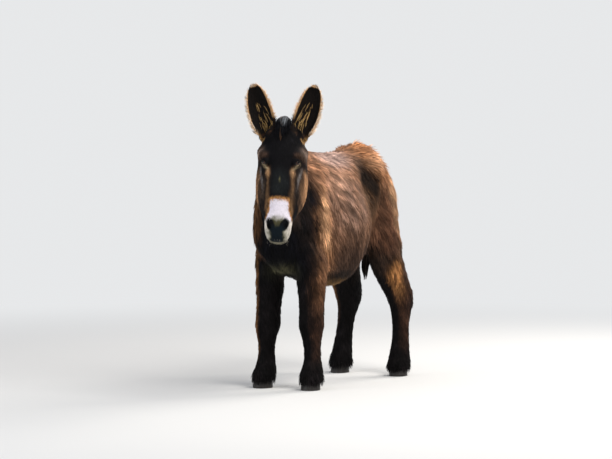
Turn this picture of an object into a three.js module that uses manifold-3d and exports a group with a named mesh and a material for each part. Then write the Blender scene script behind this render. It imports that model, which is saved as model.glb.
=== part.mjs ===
// A life-size donkey in its winter coat, standing with its head turned to its left.
// The solids reach to the tips of the coat. Millimetres, +Z up, the nose towards -Y and the left side
// towards +X. The origin is on the ground, in the middle of the whole animal's footprint box.
import * as THREE from "three";
import { LoftGeometry } from "three/addons/geometries/LoftGeometry.js";
import { mergeVertices } from "three/addons/utils/BufferGeometryUtils.js";
import Module from "manifold-3d";

const wasm = await Module();
wasm.setup();

// ---------------------------------------------------------------- driving dimensions
const WITHERS = 1262; // ground to the top of the withers
const BACK = 1222; // ground to the lowest part of the back
const CROUP = 1272; // ground to the top of the croup
const GIRTH = 534; // ground to the hair of the breast behind the elbows
const BELLY = 506; // ground to the lowest hair of the belly
const ELBOW_CUT = 560; // where the forelegs part from the trunk
const GASKIN_CUT = 598; // where the hind legs part from the trunk
const HOOF_TOP = 54; // height of the coronet, under the hair of the pastern
const POLL = new THREE.Vector3(206, -680, 1354); // top of the skull, between the ears
const HEAD_TURN = THREE.MathUtils.degToRad(25); // head turned to the left
const HEAD_NOD = THREE.MathUtils.degToRad(19); // face line from the vertical, nose forward
const HEAD_LEAN = THREE.MathUtils.degToRad(1.8); // head tipped a little sideways
const HEAD_LENGTH = 594; // poll to upper lip
const EAR_LENGTH = 304;
const EYE_RADIUS = 20;
const EYE_AT = [74, -69, -206]; // left eye, in the head's own frame
const GAP = 0.4; // between neighbouring pieces

const COLOURS = {
  coat: new THREE.MeshStandardMaterial({ color: 0x4a2e20, roughness: 0.85, metalness: 0 }),
  points: new THREE.MeshStandardMaterial({ color: 0x2a1c17, roughness: 0.85, metalness: 0 }),
  face: new THREE.MeshStandardMaterial({ color: 0x241c1a, roughness: 0.8, metalness: 0 }),
  hair: new THREE.MeshStandardMaterial({ color: 0x17120f, roughness: 0.7, metalness: 0 }),
  horn: new THREE.MeshStandardMaterial({ color: 0x2b2622, roughness: 0.6, metalness: 0 }),
  eye: new THREE.MeshStandardMaterial({ color: 0x0c0705, roughness: 0.08, metalness: 0 }),
};

// ---------------------------------------------------------------- solids
// A closed surface as a solid, moved by matrix if one is given.
function solidOf(geometry, matrix) {
  const bare = new THREE.BufferGeometry().setIndex(geometry.index);
  bare.setAttribute("position", geometry.attributes.position);
  if (matrix) bare.applyMatrix4(matrix);
  const merged = mergeVertices(bare, 1e-3);
  return new wasm.Manifold(
    new wasm.Mesh({
      numProp: 3,
      vertProperties: merged.attributes.position.array,
      triVerts: new Uint32Array(merged.index.array),
    }),
  );
}

const joined = (solids) => solids.reduce((whole, next) => whole.add(next));
const cutBy = (solid, ...others) => others.reduce((left, other) => left.subtract(other), solid);

function box([x0, y0, z0], [x1, y1, z1]) {
  const middle = [(x0 + x1) / 2, (y0 + y1) / 2, (z0 + z1) / 2];
  const sides = [Math.abs(x1 - x0), Math.abs(y1 - y0), Math.abs(z1 - z0)];
  return solidOf(new THREE.BoxGeometry(...sides), new THREE.Matrix4().setPosition(...middle));
}

function ellipsoid(at, radii, pitch = 0) {
  const matrix = new THREE.Matrix4()
    .makeRotationX(pitch)
    .multiply(new THREE.Matrix4().makeScale(...radii))
    .premultiply(new THREE.Matrix4().makeTranslation(...at));
  return solidOf(new THREE.SphereGeometry(1, 10, 7), matrix);
}

// The largest body of a solid, which leaves out slivers that a cut sets free.
function largest(solid) {
  const bodies = solid.decompose();
  return bodies.reduce((best, body) => (body.volume() > best.volume() ? body : best));
}

function geometryOf(solid) {
  const mesh = solid.getMesh();
  const geometry = new THREE.BufferGeometry();
  geometry.setAttribute("position", new THREE.BufferAttribute(new Float32Array(mesh.vertProperties), 3));
  geometry.setIndex(new THREE.BufferAttribute(new Uint32Array(mesh.triVerts), 1));
  geometry.computeVertexNormals();
  return geometry;
}

// ---------------------------------------------------------------- lofted flesh
// A station is one section of the body: the line from under to over is its middle, across its half
// width and widest how far up that line the width is greatest. flare widens the over side and narrows
// the under side. crest and keel shape those two halves: 1 is an ellipse, less is flatter, more is
// a ridge. turn swings the section about the upright.
const station = (over, under, across, form = {}) => ({ over, under, across, ...form });

const along = (stations, read, t) => {
  const points = stations.map((s) => new THREE.Vector3(...read(s)));
  return new THREE.CatmullRomCurve3(points).getPoint(t / (stations.length - 1));
};

// Muscles, bones and hollows push the surface out, or in, around a place. Each fades with distance.
function pushed(point, centre, swells) {
  const outward = point.clone().sub(centre).normalize();
  return swells.reduce((moved, { at, radii, push }) => {
    const reach = radii.reduce((sum, r, i) => sum + ((point.getComponent(i) - at[i]) / r) ** 2, 0);
    return moved.addScaledVector(outward, push * Math.exp(-reach));
  }, point.clone());
}

function section(stations, t, { sides, grow = 0, swells = [] }) {
  const over = along(stations, (s) => s.over, t);
  const under = along(stations, (s) => s.under, t);
  const width = along(stations, (s) => [s.across, s.widest ?? 0.5, s.flare ?? 0], t);
  const form = along(stations, (s) => [s.crest ?? 1, s.keel ?? 1, s.turn ?? 0], t);
  const side = new THREE.Vector3(Math.cos(form.z), Math.sin(form.z), 0);
  const rise = over.clone().sub(under);
  const depth = rise.length();
  rise.normalize();
  side.addScaledVector(rise, -side.dot(rise)).normalize();
  const centre = under.clone().addScaledVector(rise, depth * width.y);
  const [up, down] = [depth * (1 - width.y) + grow, depth * width.y + grow];
  return Array.from({ length: sides }, (_, k) => {
    const angle = (2 * Math.PI * k) / sides;
    const [c, n] = [Math.cos(angle), Math.sin(angle)];
    const power = n > 0 ? form.x : form.y;
    const out = (width.x + grow) * (1 + width.z * n) * Math.sign(c) * Math.abs(c) ** power;
    const lift = (n > 0 ? up : down) * Math.sign(n) * Math.abs(n) ** power;
    const point = centre.clone().addScaledVector(side, out).addScaledVector(rise, lift);
    return pushed(point, centre, swells);
  });
}

const centreOf = (ring) =>
  ring.reduce((sum, p) => sum.add(p), new THREE.Vector3()).divideScalar(ring.length);
const movedFrom = (neighbour, ring, distance) => {
  const out = centreOf(ring).sub(centreOf(neighbour)).setLength(distance);
  return ring.map((p) => p.clone().add(out));
};

// The solid through the stations, counted from 0, between from and to. grow thickens it all round,
// ends included.
function loft(stations, { rings, from = 0, to = stations.length - 1, grow = 0, ...options }) {
  const sections = Array.from({ length: rings + 1 }, (_, i) =>
    section(stations, from + ((to - from) * i) / rings, { grow, ...options }),
  );
  sections[0] = movedFrom(sections[1], sections[0], grow);
  sections[rings] = movedFrom(sections[rings - 1], sections[rings], grow);
  return solidOf(new LoftGeometry(sections, { capStart: true, capEnd: true }));
}

const onBothSides = (swells) =>
  swells.flatMap((s) => [s, { ...s, at: [-s.at[0], s.at[1], s.at[2]] }]);

// ---------------------------------------------------------------- trunk and neck
// One loft from the rump to the throat, so the neck grows out of the shoulders without a step.
const rib = (topY, top, underY, under, across, form) =>
  station([0, topY, top], [0, underY, under], across, form);

const BODY = [
  rib(640, 1092, 648, 930, 52),
  rib(618, 1148, 636, 850, 112),
  rib(556, 1200, 590, 770, 150, { crest: 1.05, keel: 0.9, widest: 0.52 }),
  rib(470, CROUP - 14, 500, 690, 170, { crest: 1.1, keel: 1.05, widest: 0.58 }),
  rib(390, CROUP - 4, 400, 620, 174, { crest: 1.15, keel: 1.25, widest: 0.68 }),
  rib(290, BACK + 22, 290, 562, 182, { crest: 1.12, keel: 1.1, widest: 0.56 }),
  rib(180, BACK + 4, 180, BELLY + 16, 208, { crest: 1.05, widest: 0.44 }),
  rib(60, BACK, 60, BELLY, 228, { crest: 1.08, widest: 0.42 }),
  rib(-60, BACK + 6, -70, GIRTH - 12, 218, { crest: 1.12, widest: 0.42 }),
  rib(-170, WITHERS - 14, -190, GIRTH + 16, 186, { crest: 1.2, widest: 0.42 }),
  rib(-262, WITHERS, -310, GIRTH + 58, 160, { crest: 1.35, widest: 0.4 }),
  rib(-335, WITHERS + 6, -420, GIRTH + 104, 136, { crest: 1.5, widest: 0.34 }),
];
const NECK = [
  station([16, -408, WITHERS + 18], [12, -500, 720], 112, { crest: 1.5, widest: 0.32, turn: 0.08 }),
  station([54, -470, WITHERS + 38], [42, -550, 830], 95, { crest: 1.35, widest: 0.38, turn: 0.22 }),
  station([96, -528, WITHERS + 58], [86, -602, 935], 90, { crest: 1.2, widest: 0.46, turn: 0.36 }),
  station([136, -584, WITHERS + 74], [128, -660, 1030], 86, { crest: 1.1, turn: 0.42 }),
  station([168, -636, WITHERS + 76], [168, -716, 1120], 74, { turn: 0.44 }),
  station([192, -680, WITHERS + 34], [190, -726, 1190], 46, { turn: 0.44 }),
];
const FRAME = [...BODY, ...NECK];
const SHOULDER = BODY.length - 0.5; // where the neck parts from the trunk
const BODY_SWELLS = onBothSides([
  { at: [120, -440, 800], radii: [80, 70, 100], push: 10 }, // point of the shoulder
  { at: [170, -280, 1010], radii: [110, 90, 190], push: 10 }, // shoulder blade
  { at: [150, -290, 740], radii: [90, 110, 100], push: 14 }, // muscle of the upper arm
  { at: [200, -150, 860], radii: [110, 60, 240], push: -12 }, // behind the shoulder
  { at: [165, 385, 1145], radii: [70, 60, 70], push: 16 }, // point of the hip
  { at: [170, 245, 1020], radii: [90, 80, 130], push: -20 }, // hollow of the flank
  { at: [80, 640, 1020], radii: [60, 60, 90], push: 14 }, // seat bone
]);
const frameLoft = (options) => loft(FRAME, { sides: 28, swells: BODY_SWELLS, ...options });
const barrel = (grow = 0) => frameLoft({ rings: 22, to: SHOULDER, grow });
const throat = (grow = 0) => frameLoft({ rings: 10, from: SHOULDER + 0.01, grow });

// ---------------------------------------------------------------- legs
// Each station is given by its front and back in the side view, and its distance from the middle.
const shin = (x, front, frontZ, back, backZ, across, form) =>
  station([x, front, frontZ], [x, back, backZ], across, form);

const FORELEG = [
  shin(76, -390, 900, -210, 910, 46),
  shin(90, -402, 820, -180, 830, 62),
  shin(103, -402, 735, -166, 750, 71),
  shin(113, -384, 650, -162, 668, 75),
  shin(118, -358, 565, -170, 575, 72),
  shin(121, -344, 480, -184, 480, 66),
  shin(122, -340, 400, -192, 400, 64),
  shin(122, -344, 335, -192, 332, 67),
  shin(124, -332, 280, -204, 280, 55),
  shin(126, -320, 222, -212, 220, 44),
  shin(126, -318, 168, -210, 164, 44),
  shin(127, -332, 118, -204, 110, 53),
  shin(128, -354, HOOF_TOP + GAP, -212, HOOF_TOP + GAP, 59),
];
const HINDLEG = [
  shin(76, 440, 1110, 590, 1110, 60),
  shin(88, 392, 1000, 622, 1000, 88),
  shin(102, 358, 870, 622, 880, 95),
  shin(118, 350, 740, 630, 765, 94),
  shin(130, 374, 655, 628, 680, 86),
  shin(140, 416, 575, 648, 595, 79),
  shin(150, 470, 500, 680, 520, 74),
  shin(158, 522, 430, 716, 450, 68),
  shin(163, 552, 372, 722, 398, 62),
  shin(168, 560, 316, 684, 330, 51),
  shin(173, 556, 250, 664, 255, 46),
  shin(177, 542, 185, 658, 180, 48),
  shin(179, 522, 126, 652, 114, 55),
  shin(181, 500, HOOF_TOP + GAP, 644, HOOF_TOP + GAP, 61),
];

// A leg parts from the trunk at top. side is +1 on the left. step is how far the foot stands from where
// the stations put it, and the leg swings to reach it from the hinge down. toe turns the hoof outward.
const FORE = { stations: FORELEG, hinge: 760, top: ELBOW_CUT, rings: 19, sides: 14 };
const HIND = { stations: HINDLEG, hinge: 700, top: GASKIN_CUT, rings: 21, sides: 16 };
const STANCE = {
  front_left: { ...FORE, side: 1, step: [0, 0], toe: 0.05 },
  front_right: { ...FORE, side: -1, step: [18, -20], toe: 0.2 },
  hind_left: { ...HIND, side: 1, step: [0, 0], toe: 0.16 },
  hind_right: { ...HIND, side: -1, step: [0, 0], toe: 0.12 },
};

function placed({ side, step, stations, hinge }) {
  const swing = ([x, y, z]) => {
    const share = Math.max(0, hinge - z) / (hinge - HOOF_TOP);
    return [side * (x + step[0] * share), y + step[1] * share, z];
  };
  return stations.map((s) => ({ ...s, over: swing(s.over), under: swing(s.under) }));
}

const wholeLeg = (stance, grow = 0) =>
  loft(placed(stance), { rings: stance.rings, sides: stance.sides, grow });
const lowerLeg = (stance, grow = 0) =>
  wholeLeg(stance, grow).intersect(box([-400, -800, -20], [400, 800, stance.top + grow]));

// ---------------------------------------------------------------- hooves
// A narrow, upright wall on a flat sole. The outline is a U, a little pinched at the heels.
function hoof(stance) {
  const foot = placed(stance)[stance.stations.length - 1];
  const [x, y] = [foot.over[0], (foot.over[1] + foot.under[1]) / 2];
  const levels = [
    { z: 0, across: 48, toe: 62, heel: 44 },
    { z: 7, across: 48, toe: 61, heel: 44 },
    { z: HOOF_TOP, across: 43, toe: 46, heel: 44 },
  ];
  const outline = ({ z, across, toe, heel }) =>
    Array.from({ length: 18 }, (_, k) => {
      const angle = (-2 * Math.PI * k) / 18;
      const [c, n] = [Math.cos(angle), Math.sin(angle)];
      const square = n < 0 ? 0.6 : 1;
      const out = across * Math.sign(c) * Math.abs(c) ** square * (1 + 0.08 * n);
      return new THREE.Vector3(out, -(n > 0 ? toe : heel) * n, z);
    });
  const place = new THREE.Matrix4().makeRotationZ(stance.side * stance.toe).setPosition(x, y, 0);
  return solidOf(new LoftGeometry(levels.map(outline), { capStart: true, capEnd: true }), place);
}

// ---------------------------------------------------------------- head
// The head has its own frame: the poll at 0, z up along the skull, the face towards -y.
const skull = (face, faceZ, jaw, jawZ, across, form) =>
  station([0, -face, -faceZ], [0, jaw, -jawZ], across, form);

const HEAD = [
  skull(22, -18, 34, -14, 40),
  skull(58, 8, 72, 20, 84),
  skull(84, 58, 110, 84, 106, { crest: 0.9 }),
  skull(96, 120, 142, 158, 118, { crest: 0.8, flare: 0.06 }),
  skull(98, 182, 154, 230, 122, { crest: 0.78, flare: 0.02 }),
  skull(90, 246, 142, 298, 126, { crest: 0.78, flare: -0.14 }),
  skull(80, 312, 118, 354, 122, { crest: 0.78, flare: -0.26 }),
  skull(70, 380, 92, 408, 108, { crest: 0.76, flare: -0.32, keel: 0.9 }),
  skull(62, 440, 74, 456, 86, { crest: 0.78, flare: -0.18, keel: 0.9 }),
  skull(58, 496, 66, 504, 68, { crest: 0.85, flare: 0.02 }),
  skull(53, 540, 64, 544, 65, { flare: 0.04 }),
  skull(46, 570, 58, 573, 57),
  skull(32, 588, 46, 590, 42),
  skull(10, HEAD_LENGTH, 24, HEAD_LENGTH + 2, 18),
];
const HEAD_SWELLS = onBothSides([
  { at: [88, -69, -174], radii: [32, 34, 24], push: 10 }, // arch over the eye
  { at: [88, -69, -212], radii: [36, 36, 28], push: -15 }, // socket
  { at: [90, 40, -240], radii: [60, 60, 80], push: 8 }, // cheek
  { at: [70, -40, -330], radii: [34, 26, 70], push: 5 }, // facial crest
  { at: [50, -34, -528], radii: [24, 28, 32], push: 7 }, // nostril wing
  { at: [18, 62, -566], radii: [30, 30, 30], push: 6 }, // chin
]);
const headSolid = (grow = 0) => loft(HEAD, { rings: 24, sides: 26, grow, swells: HEAD_SWELLS });

const onLeft = ([x, y, z]) => [x, y, z];
const onRight = ([x, y, z]) => [-x, y, z];
const ball = (at, radius) =>
  solidOf(new THREE.SphereGeometry(radius, 14, 8), new THREE.Matrix4().setPosition(...at));
const NOSTRIL = [43, -47, -530];

function head() {
  const hollows = [onLeft, onRight].flatMap((across) => [
    ball(across(EYE_AT), EYE_RADIUS + GAP),
    ellipsoid(across(NOSTRIL), [8, 13, 18], -0.3),
  ]);
  return cutBy(headSolid(), ...hollows);
}

const headPlace = new THREE.Matrix4().compose(
  POLL,
  new THREE.Quaternion()
    .setFromAxisAngle(new THREE.Vector3(0, 0, 1), HEAD_TURN)
    .multiply(new THREE.Quaternion().setFromAxisAngle(new THREE.Vector3(0, 1, 0), HEAD_LEAN))
    .multiply(new THREE.Quaternion().setFromAxisAngle(new THREE.Vector3(1, 0, 0), -HEAD_NOD)),
  new THREE.Vector3(1, 1, 1),
);
const onNeck = (solid) => solid.transform(headPlace.toArray());

// ---------------------------------------------------------------- ears
// A rolled leaf, nearly a closed tube at its root, open to the front above and round at its tip.
// root, lean and turn place each ear: the right one stands a little further out.
const EARS = {
  left: { side: 1, root: [79, 22, -80], lean: 0.26, turn: 0.3 },
  right: { side: -1, root: [-84, 22, -80], lean: -0.31, turn: -0.18 },
};
// inset is how far the leaf sets in towards the middle of the head there.
const EAR = [
  { height: 0, half: 24, wrap: 150, thick: 12, inset: 8 },
  { height: 0.14, half: 47, wrap: 122, thick: 13, inset: 12 },
  { height: 0.29, half: 61, wrap: 96, thick: 12, inset: 12 },
  { height: 0.44, half: 66, wrap: 80, thick: 11, inset: 8 },
  { height: 0.6, half: 64, wrap: 72, thick: 10, inset: 5 },
  { height: 0.75, half: 57, wrap: 68, thick: 10, inset: 5 },
  { height: 0.88, half: 46, wrap: 62, thick: 9, inset: 6 },
  { height: 0.965, half: 28, wrap: 56, thick: 8, inset: 7 },
  { height: 1, half: 9, wrap: 50, thick: 7, inset: 8 },
];

function ear({ side, root, lean, turn }) {
  const [rings, arc] = [11, 8];
  const sections = Array.from({ length: rings + 1 }, (_, i) => {
    const t = (i / rings) * (EAR.length - 1);
    const leaf = along(EAR, (s) => [s.half, s.wrap, s.thick], t);
    const set = along(EAR, (s) => [s.height * EAR_LENGTH, side * -s.inset, 0], t);
    const wrap = THREE.MathUtils.degToRad(leaf.y);
    const reach = leaf.x / Math.sin(Math.min(wrap, Math.PI / 2));
    const rim = (radius, way) =>
      Array.from({ length: arc }, (_, k) => {
        const angle = wrap * (1 - (2 * k) / (arc - 1)) * way;
        const [x, y] = [radius * Math.sin(angle), radius * Math.cos(angle) - reach * 0.3];
        return new THREE.Vector3(x + set.y, y, set.x);
      });
    return [...rim(reach, 1), ...rim(Math.max(reach - leaf.z, 2), -1)];
  });
  const place = new THREE.Matrix4().compose(
    new THREE.Vector3(...root),
    new THREE.Quaternion().setFromEuler(new THREE.Euler(HEAD_NOD * 0.8, lean, turn, "YXZ")),
    new THREE.Vector3(1, 1, 1),
  );
  return solidOf(new LoftGeometry(sections, { capStart: true, capEnd: true }), place);
}

// ---------------------------------------------------------------- mane, forelock and tail
// The mane is a low upright ridge along the crest of the neck.
const MANE = FRAME.slice(BODY.length - 3).map(({ over, turn }, i) => {
  const [x, y, z] = over;
  const height = Math.min(30, 10 * i);
  return station([x, y + 4, z + height], [x, y, z - 50], 15, { turn, widest: 0.4 });
});
const FORELOCK = [
  station([0, -8, 54], [0, 40, 6], 18),
  station([0, -42, 50], [0, 40, -8], 32),
  station([0, -84, 18], [0, 20, -50], 35),
  station([0, -102, -56], [0, -20, -90], 33),
  station([0, -102, -125], [0, -50, -130], 14),
];
const TAIL = [
  station([0, 610, 1090], [0, 590, 1150], 30),
  station([0, 640, 1066], [0, 652, 1142], 34),
  station([-3, 645, 1040], [-3, 702, 1090], 31),
  station([-10, 668, 975], [-10, 724, 990], 27),
  station([-26, 674, 875], [-26, 728, 880], 25),
  station([-48, 676, 790], [-48, 726, 790], 23),
];
const SWITCH = [
  station([-48, 676, 790 - GAP], [-48, 726, 790 - GAP], 23),
  station([-70, 676, 720], [-70, 738, 720], 30),
  station([-92, 682, 640], [-92, 750, 640], 32),
  station([-108, 694, 565], [-108, 750, 565], 23),
  station([-118, 722, 500], [-118, 738, 500], 7),
];

// ---------------------------------------------------------------- assembly
const donkey = new THREE.Group();
const add = (name, solid, material) => {
  const mesh = new THREE.Mesh(geometryOf(largest(solid)), material);
  mesh.name = name;
  donkey.add(mesh);
};

const stances = Object.values(STANCE);
const withThighs = (grow) => joined([barrel(grow), ...stances.map((stance) => wholeLeg(stance, grow))]);
const bigTrunk = withThighs(GAP);
add("trunk", cutBy(withThighs(0), ...stances.map((stance) => lowerLeg(stance, GAP))), COLOURS.coat);
const bigHead = onNeck(headSolid(GAP));
add("neck", cutBy(throat(), bigHead), COLOURS.coat);
add("head", onNeck(head()), COLOURS.face);
for (const [name, leaf] of Object.entries(EARS)) {
  const across = leaf.side > 0 ? onLeft : onRight;
  add("eye_" + name, onNeck(ball(across(EYE_AT), EYE_RADIUS)), COLOURS.eye);
  add("ear_" + name, onNeck(cutBy(ear(leaf), headSolid(GAP))), COLOURS.face);
}
for (const [name, stance] of Object.entries(STANCE)) {
  add("leg_" + name, lowerLeg(stance), COLOURS.points);
  add("hoof_" + name, hoof(stance), COLOURS.horn);
}
const mane = loft(MANE, { rings: 9, sides: 8 });
add("mane", cutBy(mane, bigTrunk, throat(GAP), bigHead), COLOURS.hair);
add("forelock", onNeck(cutBy(loft(FORELOCK, { rings: 8, sides: 10 }), headSolid(GAP))), COLOURS.hair);
add("tail", cutBy(loft(TAIL, { rings: 10, sides: 12 }), bigTrunk), COLOURS.coat);
add("tail_switch", loft(SWITCH, { rings: 8, sides: 12 }), COLOURS.hair);

const bounds = new THREE.Box3().setFromObject(donkey);
const middle = bounds.getCenter(new THREE.Vector3());
donkey.position.set(-middle.x, -middle.y, -bounds.min.z);

export default donkey;
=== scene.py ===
import math

import bpy
import numpy as np
from mathutils import Matrix, Vector


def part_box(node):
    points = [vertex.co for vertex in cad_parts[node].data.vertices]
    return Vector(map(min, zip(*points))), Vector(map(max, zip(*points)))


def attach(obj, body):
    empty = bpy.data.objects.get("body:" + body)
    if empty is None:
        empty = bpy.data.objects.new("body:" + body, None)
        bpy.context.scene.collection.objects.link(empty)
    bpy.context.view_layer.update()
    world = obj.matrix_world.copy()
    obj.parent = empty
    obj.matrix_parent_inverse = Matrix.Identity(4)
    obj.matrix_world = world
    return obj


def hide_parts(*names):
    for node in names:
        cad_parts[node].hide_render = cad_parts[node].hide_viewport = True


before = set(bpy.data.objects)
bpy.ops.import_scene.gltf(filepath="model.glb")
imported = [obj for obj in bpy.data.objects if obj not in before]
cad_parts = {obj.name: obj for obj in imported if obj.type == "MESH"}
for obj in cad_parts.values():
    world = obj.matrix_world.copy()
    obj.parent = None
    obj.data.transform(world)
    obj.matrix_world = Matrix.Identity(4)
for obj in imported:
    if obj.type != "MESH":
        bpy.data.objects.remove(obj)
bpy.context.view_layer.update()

# ---------------------------------------------------------------- the hide
# The donkey's skin: one closed hide drawn over trunk, neck, head, ears, legs and tail. It lies
# inside the solids by the depth of the winter coat, and carries the same markings as the hair
# that grows from it.
FLESH = ["trunk", "neck", "head", "ear_left", "ear_right", "tail"]
FLESH += [f"leg_{end}_{side}" for end in ("front", "hind") for side in ("left", "right")]
HIDE_GRAIN = 0.0045  # size of the voxels that join the solids into one surface
SEAM = 0.0008  # how far the solids swell first, so that they join
SOCKET = 1.2  # size of the eye socket over that of the eyeball
BODY_KEPT = 0.20  # share of the faces that is kept where the long coat hides the skin


def middle(node):
    low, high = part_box(node)
    return (low + high) / 2


MIDLINE = -middle("trunk")[0]  # the spine lies this far to the right of the origin
BARREL_Y = 0.075  # the barrel's middle lies this far behind the origin


# The axes left by turns about named axes, one after the other.
def turned(*turns):
    matrix = Matrix.Identity(3)
    for angle, axis in turns:
        matrix = matrix @ Matrix.Rotation(angle, 3, axis)
    return np.array(matrix)


# The head's own axes: x to its left, y back through the skull, z up along it from the poll.
HEAD_AXES = turned((math.radians(25), "Z"), (math.radians(1.8), "Y"), (math.radians(-19), "X"))
EYE_AT = np.array([0.074, -0.069, -0.206])
between_eyes = np.array(middle("eye_left") + middle("eye_right")) / 2
POLL = between_eyes - HEAD_AXES @ (EYE_AT * [0, 1, 1])


def in_head(points):
    return (points - POLL) @ HEAD_AXES


def out_of_head(points):
    return np.asarray(points) @ HEAD_AXES.T + POLL


# From 0 at low to 1 at high, eased at both ends.
def ramp(value, low, high):
    t = np.clip((value - low) / (high - low), 0, 1)
    return t * t * (3 - 2 * t)


# A soft patch, 1 at its middle. A larger edge gives it a flatter top and a firmer outline.
def blob(points, at, radii, edge=2):
    away = (((points - np.array(at)) / np.array(radii)) ** 2).sum(-1)
    return np.exp(-(away**edge))


def unit(vectors):
    return vectors / np.maximum(np.linalg.norm(vectors, axis=-1, keepdims=True), 1e-9)


# A smooth wandering value from about -1 to 1, the same at each run.
def drift(points, size, seed):
    draw = np.random.default_rng(seed)
    total = np.zeros(len(points))
    for _ in range(7):
        wave = draw.normal(size=3)
        wave *= draw.uniform(0.6, 1.7) / np.linalg.norm(wave)
        total += np.sin(points @ wave * (2 * math.pi / size) + draw.uniform(0, 7))
    return total / 3


# Share of each ear at a point: how high up it, how far round to the rim, inside or outside.
EAR_LENGTH = 0.304
EAR_HEIGHTS = [0, 0.14, 0.29, 0.44, 0.6, 0.75, 0.88, 0.965, 1]
EAR_HALF = np.array([24, 47, 61, 66, 64, 57, 46, 28, 9]) / 1000
EAR_INSET = np.array([8, 12, 12, 8, 5, 5, 6, 7, 8]) / 1000
EAR_WRAP = np.radians([150, 122, 96, 80, 72, 68, 62, 56, 50])
EAR_WALL = np.array([12, 13, 12, 11, 10, 10, 9, 8, 7]) / 1000
EAR_FRAMES = {
    side: (
        np.array([root, 0.022, -0.080]),
        turned((lean, "Y"), (math.radians(19) * 0.8, "X"), (turn, "Z")),
    )
    for side, root, lean, turn in ((1, 0.079, 0.26, 0.30), (-1, -0.084, -0.31, -0.18))
}


def in_ear(points, side):
    root, axes = EAR_FRAMES[side]
    local = (in_head(points) - root) @ axes
    height = local[:, 2] / EAR_LENGTH
    wrap = np.interp(height, EAR_HEIGHTS, EAR_WRAP)
    reach = np.interp(height, EAR_HEIGHTS, EAR_HALF) / np.sin(np.minimum(wrap, math.pi / 2))
    wall = np.interp(height, EAR_HEIGHTS, EAR_WALL)
    across = local[:, 0] + side * np.interp(height, EAR_HEIGHTS, EAR_INSET)
    back = local[:, 1] + 0.3 * reach
    round_it = np.arctan2(side * across, back) / wrap  # -1 at the inner rim, 1 at the outer
    depth = np.hypot(across, back) - reach + wall / 2  # above 0 outside, below 0 inside
    share = ramp(height, 0.12, 0.2) * (1 - ramp(height, 1.05, 1.1))
    share *= 1 - ramp(np.abs(round_it), 1.15, 1.3)
    share *= 1 - ramp(np.abs(depth), wall * 0.9, wall * 1.4)
    return share, height, round_it, depth


# How far back the jaw and the throat reach at each distance below the poll.
JAW_Z = [-0.02, 0.02, 0.084, 0.158, 0.23, 0.298, 0.354, 0.408, 0.456, 0.504, 0.6]
JAW_Y = [0.03, 0.072, 0.11, 0.142, 0.154, 0.142, 0.118, 0.092, 0.074, 0.066, 0.06]


def head_share(points):
    x, y, z = in_head(points).T
    behind = ramp(y - np.interp(-z, JAW_Z, JAW_Y), 0.0, 0.03)
    beyond = ramp(z, 0.02, 0.05) + ramp(-z, 0.62, 0.66) + ramp(np.abs(x), 0.15, 0.18)
    return (1 - behind) * (1 - np.clip(beyond, 0, 1))


def leg_share(points):
    y, z = points[:, 1], points[:, 2]
    front = ramp(y, -0.36, -0.33) * (1 - ramp(y, -0.08, -0.06)) * (1 - ramp(z, 0.52, 0.66))
    hind = ramp(y, 0.42, 0.48) * (1 - ramp(z, 0.56, 0.72))
    return np.clip(front + hind, 0, 1)


def tail_share(points):
    back = ramp(points[:, 1], 0.695, 0.715) * ramp(points[:, 2], 0.6, 0.66)
    back *= 1 - ramp(np.abs(points[:, 0] + MIDLINE + 0.012), 0.040, 0.065)
    return back * (1 - ramp(points[:, 2], 1.14, 1.17))


def shares(points):
    ears = [in_ear(points, side)[0] for side in (1, -1)]
    ear = np.clip(ears[0] + ears[1], 0, 1)
    head = head_share(points) * (1 - ear)
    leg = leg_share(points) * (1 - tail_share(points))
    return {"head": head, "ear": ear, "leg": leg, "tail": tail_share(points) * (1 - leg)}


# Depth of the coat: the croup's is deeper than the rest of the body's, and the muzzle's is the
# face's less a little.
BODY_COAT, CROUP_MORE = 0.010, 0.006
LEG_COAT, TAIL_COAT, EAR_COAT = 0.007, 0.009, 0.0022
FACE_COAT, MUZZLE_LESS = 0.0045, 0.002


def coat_depth(points):
    part = shares(points)
    croup = ramp(points[:, 1], 0.34, 0.46) * ramp(points[:, 2], 1.0, 1.12)
    depth = BODY_COAT + CROUP_MORE * croup
    face = FACE_COAT - MUZZLE_LESS * ramp(-in_head(points)[:, 2], 0.38, 0.5)
    for name, value in (("leg", LEG_COAT), ("tail", TAIL_COAT), ("head", face), ("ear", EAR_COAT)):
        depth += (value - depth) * part[name]
    return depth


def alone(piece):
    bpy.ops.object.select_all(action="DESELECT")
    piece.select_set(True)
    bpy.context.view_layer.objects.active = piece


# One edit tool on all of a piece, or on the corners or faces of it that are chosen.
def shaped(piece, tool, chosen=None, of="vertices", **settings):
    alone(piece)
    bpy.ops.object.mode_set(mode="EDIT")
    bpy.ops.mesh.select_all(action="SELECT" if chosen is None else "DESELECT")
    if chosen is not None:
        bpy.ops.object.mode_set(mode="OBJECT")
        getattr(piece.data, of).foreach_set("select", chosen)
        bpy.ops.object.mode_set(mode="EDIT")
    tool(**settings)
    bpy.ops.object.mode_set(mode="OBJECT")


def finished(piece, kind, **settings):
    alone(piece)
    modifier = piece.modifiers.new(kind, kind)
    for key, value in settings.items():
        setattr(modifier, key, value)
    bpy.ops.object.modifier_apply(modifier=modifier.name)


def corner_values(piece, kind):
    found = np.empty(len(piece.data.vertices) * 3, np.float32)
    piece.data.vertices.foreach_get(kind, found)
    return found.reshape(-1, 3).astype(float)


def places(piece):
    return corner_values(piece, "co")


def outward(piece):
    return corner_values(piece, "normal")


def put(piece, points):
    piece.data.vertices.foreach_set("co", points.astype(np.float32).ravel())
    piece.data.update()


# A CAD node's mesh as a piece of its own, with its loose triangles merged.
def copy_of(node):
    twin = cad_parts[node].copy()
    twin.data = twin.data.copy()
    twin.parent = None
    for key in list(twin.keys()):
        del twin[key]
    bpy.context.scene.collection.objects.link(twin)
    shaped(twin, bpy.ops.mesh.remove_doubles, threshold=1e-5)
    return twin


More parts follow.
